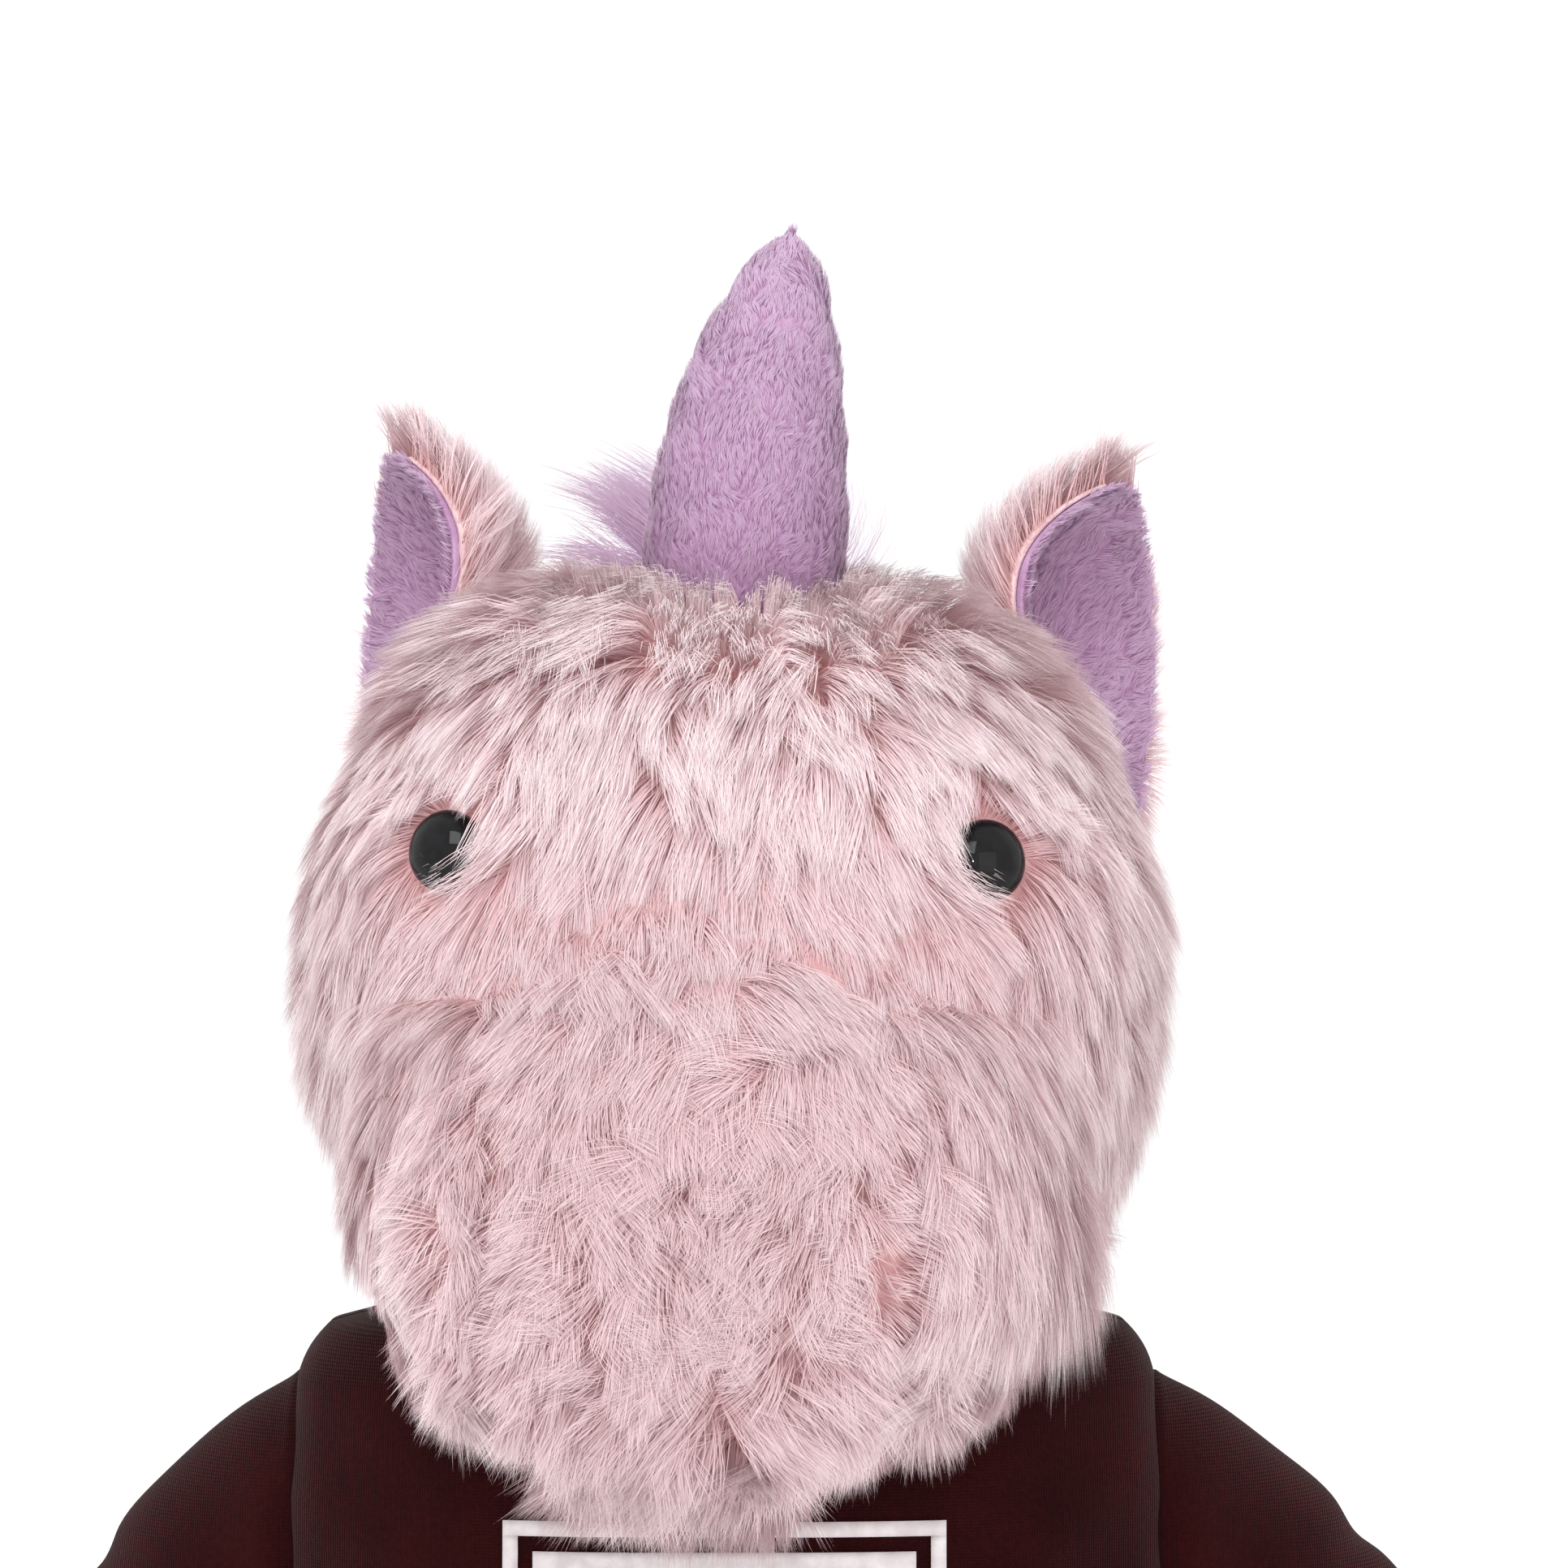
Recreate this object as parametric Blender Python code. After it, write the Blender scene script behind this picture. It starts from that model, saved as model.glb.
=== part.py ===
"""Seated plush unicorn in a knitted sweatshirt, built as separate sewn, stuffed and moulded pieces.

Units are metres and +Z is up. The face looks along -Y and the flat seat base lies on Z = 0.
Left and right are the toy's own: its left is +X. Each moving group hangs on an empty that
sits on its joint's axis, and every soft piece is a plain closed solid of the right size.
"""
import math

import bmesh
import bpy
from mathutils import Matrix, Vector
from mathutils.bvhtree import BVHTree

# ---- clearances and material thicknesses ----
GAP = 0.0003              # between two pieces that touch
FUR_CLOTH = 0.003         # fur fabric: backing and the packed foot of its pile
MINKY = 0.002             # short-pile lining
KNIT = 0.0015             # sweatshirt jersey
FILLING_GAP = 0.0012      # filling under its cover, which has flat facets of its own
SMOOTH_ANGLE = math.radians(50)

# ---- head ----
SKULL_CENTRE = Vector((0, -0.018, 0.226))
SKULL_HALF = Vector((0.074, 0.066, 0.073))
SKULL_HALF_BELOW = 0.048  # the underside is flatter, where the neck is sewn on
SKULL_POWER = 2.7
MUZZLE_CENTRE = Vector((0, -0.086, 0.190))
MUZZLE_HALF = Vector((0.061, 0.041, 0.047))
MUZZLE_POWER = 2.1
HEAD_BLEND = 0.020        # width of the soft fold between skull and muzzle
SLICE_CENTRE_Y = -0.045   # middle of the head's slices where they take in the muzzle
SLICE_CENTRE_Z = 0.213
SLICE_SHIFT = (0.030, 0.070)
GUSSET_HALF = 0.034       # half width of the strip from forehead over the nose to the chin
HEAD_SEGMENTS = 28
SIDE_SLICES = 6
HEAD_YAW = math.radians(-2)
HEAD_ROLL = math.radians(1)

EYE_RADIUS = 0.0075
EYE_HEIGHT = 0.0052
EYE_X = 0.0485
EYE_Z = 0.252
SHANK_RADIUS = 0.0022
SHANK_LENGTH = 0.011
WASHER_RADIUS = 0.008
WASHER_THICK = 0.0014

HORN_Y = -0.036
HORN_X = 0.0034
HORN_RADIUS = 0.0205
HORN_TIP_Z = 0.370
HORN_LEAN = 0.0095
HORN_LIFT = 0.0044        # free height under the horn's rim, so that it can tilt

EAR_LENGTHS = {1: 0.046, -1: 0.046}
EAR_HALF_WIDTH = 0.022
EAR_CUP = math.radians(72)
EAR_OPENING = math.radians(50)    # how far the cup turns from straight sideways to the front
EAR_LIFT = 0.0035
EAR_PINCH = 0.16          # share of the leaf's outline that is folded away at the root
EAR_TAPER = 0.80
EAR_FOLD = 1.12           # the cup is tighter at the root and opens towards the tip
EAR_UNFOLD = 0.35
EAR_ROUNDING = 0.35
EAR_DRAPE = 0.007           # the furthest the foot reaches down over the round of the head
EAR_Y = -0.002
EAR_FEET = {1: 0.0590, -1: -0.0560}
EAR_LEANS = {1: math.radians(15), -1: math.radians(-9)}
EAR_ROWS = 7
EAR_COLUMNS = 7
EAR_CLOTH = 0.0022

MANE_HALF = (0.009, 0.0055)
MANE_START = math.radians(66)
MANE_END = math.radians(-20)

# ---- neck and torso ----
NECK_RADIUS = 0.025
NECK_BASE_Z = 0.1653
NECK_TOP_Z = 0.1755
NECK_RIM_DROP = 0.005
NECK_TIP_RADIUS = 0.007
NOD_AXIS_Z = 0.1765
TORSO_CENTRE_Y = 0.002
TORSO_POWER = 2.5
TORSO_SEGMENTS = 20
SIDE_PLANE = 0.0808       # flat sides where the arms are sewn on
HIP_PLANE = 0.0397        # flat sides where the legs are sewn on
HIP_TOP_Z = 0.0715
HEM_Z = 0.0735
HEM_TOP_Z = 0.0855
# height, half width, half depth of the body's own sections
PELVIS_SECTIONS = (
    (0.0023, 0.039, 0.043),
    (0.012, 0.045, 0.048),
    (0.030, 0.0455, 0.049),
    (HIP_TOP_Z, 0.046, 0.050),
)
TRUNK_SECTIONS = (
    (HEM_Z, 0.078, 0.0510),
    (HEM_TOP_Z, 0.086, 0.0530),
    (0.105, 0.092, 0.0535),
    (0.130, 0.092, 0.052),
    (0.150, 0.086, 0.046),
    (0.158, 0.075, 0.041),
    (0.1620, 0.060, 0.036),
    (0.1640, 0.038, 0.031),
)
SHOULDER_SLOPE = (0.135, 0.158)
NECK_HOLE = (0.1648, 0.029, 0.025)
SEAT_THICK = 0.002
BEAN_TOP_Z = 0.030

# ---- sweatshirt ----
SHIRT_EASE = 0.0009
RIB_EXTRA = 0.0007
COLLAR_RADIUS = 0.0395
COLLAR_TOP_Z = 0.1708
COLLAR_THICK = 0.0022
ARMHOLE_RADIUS = 0.0218
PRINT_HALF_WIDTH = 0.041
PRINT_Z = (0.0900, 0.1290)
PRINT_THICK = 0.0006

# ---- arms ----
SHOULDER_Z = 0.124
ARM_PLANE = SIDE_PLANE + 2 * GAP
SLEEVE_PLANE = SIDE_PLANE + SHIRT_EASE + KNIT + GAP
ARM_ANGLES = {1: math.radians(47), -1: math.radians(39)}    # from straight down, left and right arm
ARM_LENGTH = 0.104
ARM_RADIUS = 0.0205
ARM_ROOT_RADIUS = 0.0212
ARM_TURN = 0.026          # length over which the arm's sections turn square to it
SLEEVE_LENGTH = 0.068
SLEEVE_STATIONS = (0.009, 0.018, 0.030, 0.050, SLEEVE_LENGTH)
CUFF_LENGTH = 0.012
ARM_HOOF_START = 0.086
ARM_SEGMENTS = 12

# ---- legs ----
HIP_Y = -0.012
HIP_Z = 0.031
LEG_RADIUS = 0.031
LEG_WAIST = 0.0285
LEG_SPLAY = math.radians(10)
LEG_LENGTH = 0.138
LEG_HOOF_LENGTH = 0.028
SOLE_THICK = 0.003
LEG_PLANE = HIP_PLANE + 2 * GAP
LEG_SEGMENTS = 16

# ---- tail and label ----
TAIL_ROOT = Vector((0, 0.0660, 0.046))
TAIL_ROOT_RADIUS = 0.011
TAIL_BELLY = 0.018
TAIL_LENGTH = 0.075
TAIL_DROP = 0.027
TAIL_TIP_RADIUS = 0.004
TAIL_PINCH = 0.45         # how much of its radius the plume keeps where it is sewn on
TAIL_FULLNESS = 0.12      # shifts the widest place towards the root
TAIL_UPRIGHT = Vector((0, 0.25, 0.97))
LABEL_SIZE = (0.012, 0.0008, 0.018)
LABEL_PLACE = (0.024, 0.0545, 0.046)


# ---- finishes: colour and roughness ----
PINK_FUR = ((0.80, 0.55, 0.56), 0.95)
LAVENDER = ((0.50, 0.33, 0.48), 0.90)
MAROON = ((0.06, 0.012, 0.016), 0.85)
PRINT_WHITE = ((0.75, 0.72, 0.72), 0.60)
FILLING = ((0.85, 0.85, 0.83), 1.00)
BLACK_PLASTIC = ((0.01, 0.01, 0.012), 0.12)
CLEAR_PLASTIC = ((0.70, 0.70, 0.68), 0.40)
BEAN_CLOTH = ((0.62, 0.60, 0.55), 0.90)
LABEL_CLOTH = ((0.80, 0.80, 0.78), 0.70)


def clear_scene():
    for item in list(bpy.data.objects):
        bpy.data.objects.remove(item, do_unlink=True)


def finish(name, colour, roughness, metallic=0.0):
    """A plain material of the piece's own colour."""
    material = bpy.data.materials.new(name)
    material.use_nodes = True
    shader = material.node_tree.nodes["Principled BSDF"]
    shader.inputs["Base Color"].default_value = (*colour, 1.0)
    shader.inputs["Roughness"].default_value = roughness
    shader.inputs["Metallic"].default_value = metallic
    return material


# ---- mesh helpers ----

def place(name, mesh_data, look, parent, rest_origin):
    """Turns a bmesh drawn at its rest place into a named piece on its parent empty."""
    bmesh.ops.triangulate(mesh_data, faces=mesh_data.faces, quad_method="FIXED")
    bmesh.ops.recalc_face_normals(mesh_data, faces=mesh_data.faces)
    bmesh.ops.translate(mesh_data, verts=mesh_data.verts, vec=-rest_origin)
    mesh = bpy.data.meshes.new(name)
    mesh_data.to_mesh(mesh)
    mesh_data.free()
    mesh.shade_smooth()
    mesh.set_sharp_from_angle(angle=SMOOTH_ANGLE)
    mesh.materials.append(finish(name, *look))
    piece = bpy.data.objects.new(name, mesh)
    bpy.context.scene.collection.objects.link(piece)
    piece.parent = parent
    return piece


def joint_empty(name, location, parent=None, rotation=(0.0, 0.0, 0.0)):
    empty = bpy.data.objects.new(name, None)
    empty.empty_display_size = 0.01
    empty.location = location
    empty.rotation_euler = rotation
    empty.parent = parent
    bpy.context.scene.collection.objects.link(empty)
    return empty


def add_rows(bm, rows):
    return [[bm.verts.new(point) for point in row] for row in rows]


def skin_rows(bm, rows, wrap):
    for low, high in zip(rows, rows[1:]):
        count = len(low) if wrap else len(low) - 1
        for j in range(count):
            k = (j + 1) % len(low)
            bm.faces.new((low[j], low[k], high[k], high[j]))


def fan(bm, row, point):
    pole = bm.verts.new(point)
    for j in range(len(row)):
        bm.faces.new((row[j], row[(j + 1) % len(row)], pole))


def cap(bm, row, pole):
    """Closes a ring with a flat face, or with a fan up to a pole."""
    if pole is None:
        bm.faces.new(row)
    else:
        fan(bm, row, pole)


def solid(rows, start_pole=None, end_pole=None):
    """A closed solid through rings of points."""
    bm = bmesh.new()
    rings = add_rows(bm, rows)
    skin_rows(bm, rings, True)
    cap(bm, rings[0], start_pole)
    cap(bm, rings[-1], end_pole)
    return bm


def shell(outer, inner, end_poles=None):
    """A tube with a wall. It is open at its start, and at its end unless end_poles closes it."""
    bm = bmesh.new()
    outside = add_rows(bm, outer)
    inside = add_rows(bm, inner)
    skin_rows(bm, outside, True)
    skin_rows(bm, inside, True)
    skin_rows(bm, [outside[0], inside[0]], True)
    if end_poles:
        fan(bm, outside[-1], end_poles[0])
        fan(bm, inside[-1], end_poles[1])
    else:
        skin_rows(bm, [outside[-1], inside[-1]], True)
    return bm


def patch(outer, inner):
    """A thick sheet between two grids of points of the same size."""
    bm = bmesh.new()
    outside = add_rows(bm, outer)
    inside = add_rows(bm, inner)
    skin_rows(bm, outside, False)
    skin_rows(bm, inside, False)
    skin_rows(bm, [outside[0], inside[0]], False)
    skin_rows(bm, [outside[-1], inside[-1]], False)
    skin_rows(bm, [[row[0] for row in outside], [row[0] for row in inside]], False)
    skin_rows(bm, [[row[-1] for row in outside], [row[-1] for row in inside]], False)
    return bm


def oval(angle, half_u, half_v, power):
    """A point of a rounded oval, as distances along its two half axes."""
    cosine = math.cos(angle)
    sine = math.sin(angle)
    u = math.copysign(abs(cosine) ** (2 / power), cosine) * half_u
    v = math.copysign(abs(sine) ** (2 / power), sine) * half_v
    return u, v


def circle_row(centre, u, v, radius, count):
    angles = [2 * math.pi * j / count for j in range(count)]
    return [centre + u * (radius * math.cos(a)) + v * (radius * math.sin(a)) for a in angles]


def smooth_step(value, low, high):
    t = min(max((value - low) / (high - low), 0.0), 1.0)
    return t * t * (3 - 2 * t)


def cutter(name, bm, parent, rest_origin):
    """A hidden shape that a Boolean takes away."""
    tool = place(name, bm, FILLING, parent, rest_origin)
    tool.hide_render = True
    tool.display_type = "WIRE"
    return tool


def cut(piece, tool):
    modifier = piece.modifiers.new("cut_" + tool.name, "BOOLEAN")
    modifier.operation = "DIFFERENCE"
    modifier.solver = "EXACT"
    modifier.object = tool


# ---- head shape ----

def rounded_distance(point, centre, half, power):
    """About how far a point is outside a rounded block, negative inside it."""
    offset = point - centre
    total = sum(abs(offset[i] / half[i]) ** power for i in range(3))
    return (total ** (1 / power) - 1) * min(half)


def head_distance(point):
    """About how far a point is outside the head: skull and muzzle run together softly."""
    half = SKULL_HALF.copy()
    if point.z < SKULL_CENTRE.z:
        half.z = SKULL_HALF_BELOW
    skull = rounded_distance(point, SKULL_CENTRE, half, SKULL_POWER)
    muzzle = rounded_distance(point, MUZZLE_CENTRE, MUZZLE_HALF, MUZZLE_POWER)
    mix = min(max(0.5 + 0.5 * (muzzle - skull) / HEAD_BLEND, 0.0), 1.0)
    return muzzle + (skull - muzzle) * mix - HEAD_BLEND * mix * (1 - mix)


def head_surface(start, direction, reach=0.15, steps=36):
    """Where a ray from inside the head leaves it."""
    near = 0.0
    far = reach
    for _ in range(steps):
        middle = (near + far) / 2
        if head_distance(start + direction * middle) < 0:
            near = middle
        else:
            far = middle
    return start + direction * near


def head_normal(point, step=0.0005):
    axes = (Vector((step, 0, 0)), Vector((0, step, 0)), Vector((0, 0, step)))
    return Vector([head_distance(point + a) - head_distance(point - a) for a in axes]).normalized()


def crown(x, y):
    """The top of the head over a point."""
    return head_surface(Vector((x, y, SKULL_CENTRE.z)), Vector((0, 0, 1)))


def slice_centre(x):
    shift = smooth_step(abs(x), *SLICE_SHIFT)
    y = SLICE_CENTRE_Y + (SKULL_CENTRE.y - SLICE_CENTRE_Y) * shift
    z = SLICE_CENTRE_Z + (SKULL_CENTRE.z - SLICE_CENTRE_Z) * shift
    return Vector((x, y, z))


def head_slice(x, inset):
    """A section of the head, moved in square to its surface."""
    centre = slice_centre(x)
    angles = [2 * math.pi * j / HEAD_SEGMENTS for j in range(HEAD_SEGMENTS)]
    row = [head_surface(centre, Vector((0, math.cos(a), math.sin(a)))) for a in angles]
    return [point - head_normal(point) * inset for point in row]


STRIP_SLICES = (-GUSSET_HALF, -GUSSET_HALF / 3, GUSSET_HALF / 3, GUSSET_HALF)


def side_slices(side):
    """Slices that crowd towards the pole on the side of the head."""
    start = GUSSET_HALF + GAP
    spread = [math.sin(math.pi / 2 * i / SIDE_SLICES) for i in range(SIDE_SLICES)]
    return [side * (start + (SKULL_HALF.x - start) * part) for part in spread]


def side_pole(side, inset):
    return Vector((side * (SKULL_HALF.x - inset), SKULL_CENTRE.y, SKULL_CENTRE.z))


def build_head_cover(pivot, origin):
    """The middle strip over the nose, and a side panel each way."""
    layers = [[head_slice(x, inset) for x in STRIP_SLICES] for inset in (0.0, FUR_CLOTH)]
    place("head_gusset", shell(*layers), PINK_FUR, pivot, origin)
    panels = {}
    for side, word in ((1, "left"), (-1, "right")):
        layers = [[head_slice(x, inset)[::side] for x in side_slices(side)] for inset in (0.0, FUR_CLOTH)]
        poles = [side_pole(side, inset) for inset in (0.0, FUR_CLOTH)]
        panels[side] = place("head_panel_" + word, shell(*layers, poles), PINK_FUR, pivot, origin)
    return panels


def build_head_filling(pivot, origin):
    inset = FUR_CLOTH + FILLING_GAP
    stations = side_slices(-1)[::-1] + list(STRIP_SLICES[1:-1]) + side_slices(1)
    rows = [head_slice(x, inset) for x in stations]
    core = solid(rows, side_pole(-1, inset), side_pole(1, inset))
    return place("head_filling", core, FILLING, pivot, origin)


def turned(centre, axis, profile, count):
    """Rings round an axis from (distance, radius) pairs."""
    u = axis.orthogonal().normalized()
    v = axis.cross(u)
    return [circle_row(centre + axis * distance, u, v, radius, count) for distance, radius in profile]


def build_eye(side, word, pivot, origin, panel, filling):
    """A moulded safety eye: dome and shank in one, held by a washer behind the cloth."""
    start = Vector((side * EYE_X, SKULL_CENTRE.y - SKULL_HALF.y * 2, EYE_Z)) - origin
    corners = [v.co for v in panel.data.vertices]
    skin = BVHTree.FromPolygons(corners, [p.vertices for p in panel.data.polygons])
    seat, axis, _, _ = skin.ray_cast(start, Vector((0, 1, 0)))
    base = seat + origin + axis * GAP
    steps = [math.pi / 2 * i / 4 for i in range(4)]
    dome = [(EYE_HEIGHT * math.sin(a), EYE_RADIUS * math.cos(a)) for a in steps]
    profile = [(-SHANK_LENGTH, SHANK_RADIUS), (0.0, SHANK_RADIUS)] + dome
    rings = turned(base, axis, profile, 20)
    place("eye_" + word, solid(rings, None, base + axis * EYE_HEIGHT), BLACK_PLASTIC, pivot, origin)
    top = -(FUR_CLOTH + 8 * GAP)
    levels = (top, top - WASHER_THICK)
    outer = turned(base, axis, [(level, WASHER_RADIUS) for level in levels], 16)
    inner = turned(base, axis, [(level, SHANK_RADIUS + GAP) for level in levels], 16)
    place("eye_washer_" + word, shell(outer, inner), CLEAR_PLASTIC, pivot, origin)
    wide = EYE_RADIUS + 2 * GAP
    narrow = SHANK_RADIUS + 2 * GAP
    stepped = [(-2 * FUR_CLOTH, narrow), (-GAP / 2, narrow), (-GAP / 2, wide), (EYE_HEIGHT, wide)]
    hole = turned(base, axis, stepped, 16)
    cut(panel, cutter("cutter_eye_seat_" + word, solid(hole), pivot, origin))
    pocket_radius = WASHER_RADIUS + 2 * GAP
    pocket = turned(base, axis, [(-SHANK_LENGTH - 0.001, pocket_radius), (0.004, pocket_radius)], 16)
    cut(filling, cutter("cutter_washer_" + word, solid(pocket), pivot, origin))


def horn_radius(part):
    return HORN_RADIUS * (1 - part * part) ** 0.6


def build_horn(parent, head_origin):
    base = crown(HORN_X, HORN_Y) + Vector((0, 0, HORN_LIFT))
    pivot = joint_empty("pivot_horn", base - head_origin, parent)
    height = HORN_TIP_Z - base.z
    forward = Vector((1, 0, 0))
    across = Vector((0, 1, 0))

    def rows(inset, top, count):
        parts = [math.sin(math.pi / 2 * i / count) for i in range(count)]
        rings = []
        for part in parts:
            centre = base + Vector((HORN_LEAN * part * part, 0, (height - top) * part))
            radius = horn_radius(part) - inset * (1 - 0.5 * part)
            rings.append(circle_row(centre, forward, across, radius, 18))
        return rings, base + Vector((HORN_LEAN, 0, height - top))

    outer, outer_tip = rows(0.0, 0.0, 7)
    inner, inner_tip = rows(MINKY, MINKY * 1.5, 7)
    place("horn_cover", shell(outer, inner, (outer_tip, inner_tip)), LAVENDER, pivot, base)
    core, core_tip = rows(MINKY + GAP, MINKY * 2.2, 7)
    place("horn_filling", solid(core, None, core_tip), FILLING, pivot, base)


def ear_rows(root, up, opening, length, lift):
    """Rows of a cupped leaf: pinched at the root, rounded at the tip, its foot following the head."""
    side = up.cross(opening)
    rows = []
    for i in range(EAR_ROWS):
        part = i / (EAR_ROWS - 1)
        half = EAR_HALF_WIDTH * math.sin(math.pi * (EAR_PINCH + EAR_TAPER * part)) ** 0.75
        cup = EAR_CUP * (EAR_FOLD - EAR_UNFOLD * part)
        centre = root + up * (length * part) + opening * (half * EAR_ROUNDING)
        radius = half / math.sin(cup) - lift
        row = []
        for j in range(EAR_COLUMNS):
            angle = cup * (2 * j / (EAR_COLUMNS - 1) - 1)
            point = centre + side * (radius * math.sin(angle)) - opening * (radius * math.cos(angle))
            foot = point - up * (length * part)
            drape = max(crown(foot.x, foot.y).z + EAR_LIFT - foot.z, -EAR_DRAPE)
            point.z += drape * (1 - part) ** 2
            row.append(point)
        rows.append(row)
    return rows


def build_ear(side, word, parent, head_origin):
    """An ear is a fur back and a short-pile lining, both cupped leaves."""
    lean = EAR_LEANS[side]
    up = Vector((math.sin(lean), 0, math.cos(lean)))
    root = crown(EAR_FEET[side], EAR_Y) + Vector((0, 0, EAR_LIFT))
    pivot = joint_empty("pivot_ear_" + word, root - head_origin, parent)
    outward = Vector((side * math.cos(EAR_OPENING), -math.sin(EAR_OPENING), 0))
    opening = (outward - up * outward.dot(up)).normalized()
    lifts = (0.0, EAR_CLOTH, EAR_CLOTH + GAP, 2 * EAR_CLOTH)
    layers = [ear_rows(root, up, opening, EAR_LENGTHS[side], lift) for lift in lifts]
    place("ear_back_" + word, patch(layers[0], layers[1]), PINK_FUR, pivot, root)
    place("ear_lining_" + word, patch(layers[2], layers[3]), LAVENDER, pivot, root)


def build_mane(pivot, origin):
    """A ridge of long pile down the middle of the head, from behind the horn."""
    start = slice_centre(0.0)
    half_wide, half_high = MANE_HALF
    rows = []
    count = 9
    for i in range(count):
        part = i / (count - 1)
        angle = MANE_START + (MANE_END - MANE_START) * part
        direction = Vector((0, math.cos(angle), math.sin(angle)))
        taper = math.sqrt(max(1 - (2 * part - 1) ** 4, 0.12))
        edge = head_surface(start, direction)
        centre = edge + direction * (half_high + 3 * GAP + 0.0008)
        wide = Vector((half_wide * taper, 0, 0))
        row = circle_row(Vector(), wide, direction * (half_high * taper), 1.0, 10)
        rows.append([centre + point for point in row])
    return place("mane_strip", solid(rows), LAVENDER, pivot, origin)


# ---- torso and sweatshirt ----

def torso_point(angle, section, grow, flat):
    """A point of a body section, with its sides flattened to a plane.

    Layers also keep their distance over the shoulders and under the shelf above the legs.
    """
    height, half_width, half_depth = section
    shelf = 1.0 if HIP_TOP_Z <= height <= HEM_Z else 0.0
    height += grow * (smooth_step(height, *SHOULDER_SLOPE) - shelf)
    u, v = oval(angle, half_width + grow, half_depth + grow, TORSO_POWER)
    limit = flat + grow
    return Vector((min(max(u, -limit), limit), TORSO_CENTRE_Y + v, height))


def half_rows(sections, grow, facing, flats):
    """Rows of the front (-1) or back (1) half of the body, which part by a gap at the sides."""
    count = TORSO_SEGMENTS // 2
    rows = []
    start = math.pi if facing < 0 else 0.0
    for section, flat in zip(sections, flats):
        row = [torso_point(start + math.pi * j / count, section, grow, flat) for j in range(count + 1)]
        for point in row:
            point.y = TORSO_CENTRE_Y + facing * (abs(point.y - TORSO_CENTRE_Y) + GAP / 2)
        rows.append(row)
    return rows


def full_rows(sections, grow, flats):
    angles = [2 * math.pi * j / TORSO_SEGMENTS for j in range(TORSO_SEGMENTS)]
    return [[torso_point(a, section, grow, flat) for a in angles] for section, flat in zip(sections, flats)]


def flats_for(sections):
    return [HIP_PLANE if section[0] <= HIP_TOP_Z else SIDE_PLANE for section in sections]


def section_at(height):
    """The trunk's section at a height, between the listed ones."""
    for low, high in zip(TRUNK_SECTIONS, TRUNK_SECTIONS[1:]):
        if low[0] <= height <= high[0]:
            part = (height - low[0]) / (high[0] - low[0])
            return (height, low[1] + (high[1] - low[1]) * part, low[2] + (high[2] - low[2]) * part)
    raise ValueError("no trunk section at this height")


def build_body():
    """Seat panel, front and back skins, filling and the weighted bean bag under it."""
    origin = Vector()
    base = (0.0, PELVIS_SECTIONS[0][1] - 0.001, PELVIS_SECTIONS[0][2] - 0.001)
    seat = (base, (SEAT_THICK, base[1] + 0.001, base[2] + 0.001))
    rows = full_rows(seat, 0.0, (HIP_PLANE - 0.001, HIP_PLANE))
    place("seat_panel", solid(rows), PINK_FUR, None, origin)
    sections = PELVIS_SECTIONS + TRUNK_SECTIONS
    flats = flats_for(sections)
    for facing, word in ((-1, "front"), (1, "back")):
        outer = half_rows(sections, 0.0, facing, flats)
        inner = half_rows(sections, -FUR_CLOTH, facing, flats)
        place("body_" + word, patch(outer, inner), PINK_FUR, None, origin)
    inset = -(FUR_CLOTH + FILLING_GAP)
    beans = ((SEAT_THICK + 5 * GAP, *PELVIS_SECTIONS[0][1:]),) + PELVIS_SECTIONS[1:3]
    place("bean_bag", solid(full_rows(beans, inset, flats_for(beans))), BEAN_CLOTH, None, origin)
    low = (BEAN_TOP_Z + 2 * GAP, *PELVIS_SECTIONS[2][1:])
    filling = (low,) + PELVIS_SECTIONS[3:] + TRUNK_SECTIONS
    rows = full_rows(filling, inset, flats_for(filling))
    rows += full_rows((NECK_HOLE,), 0.0, (SIDE_PLANE,))
    place("body_filling", solid(rows), FILLING, None, origin)


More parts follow.
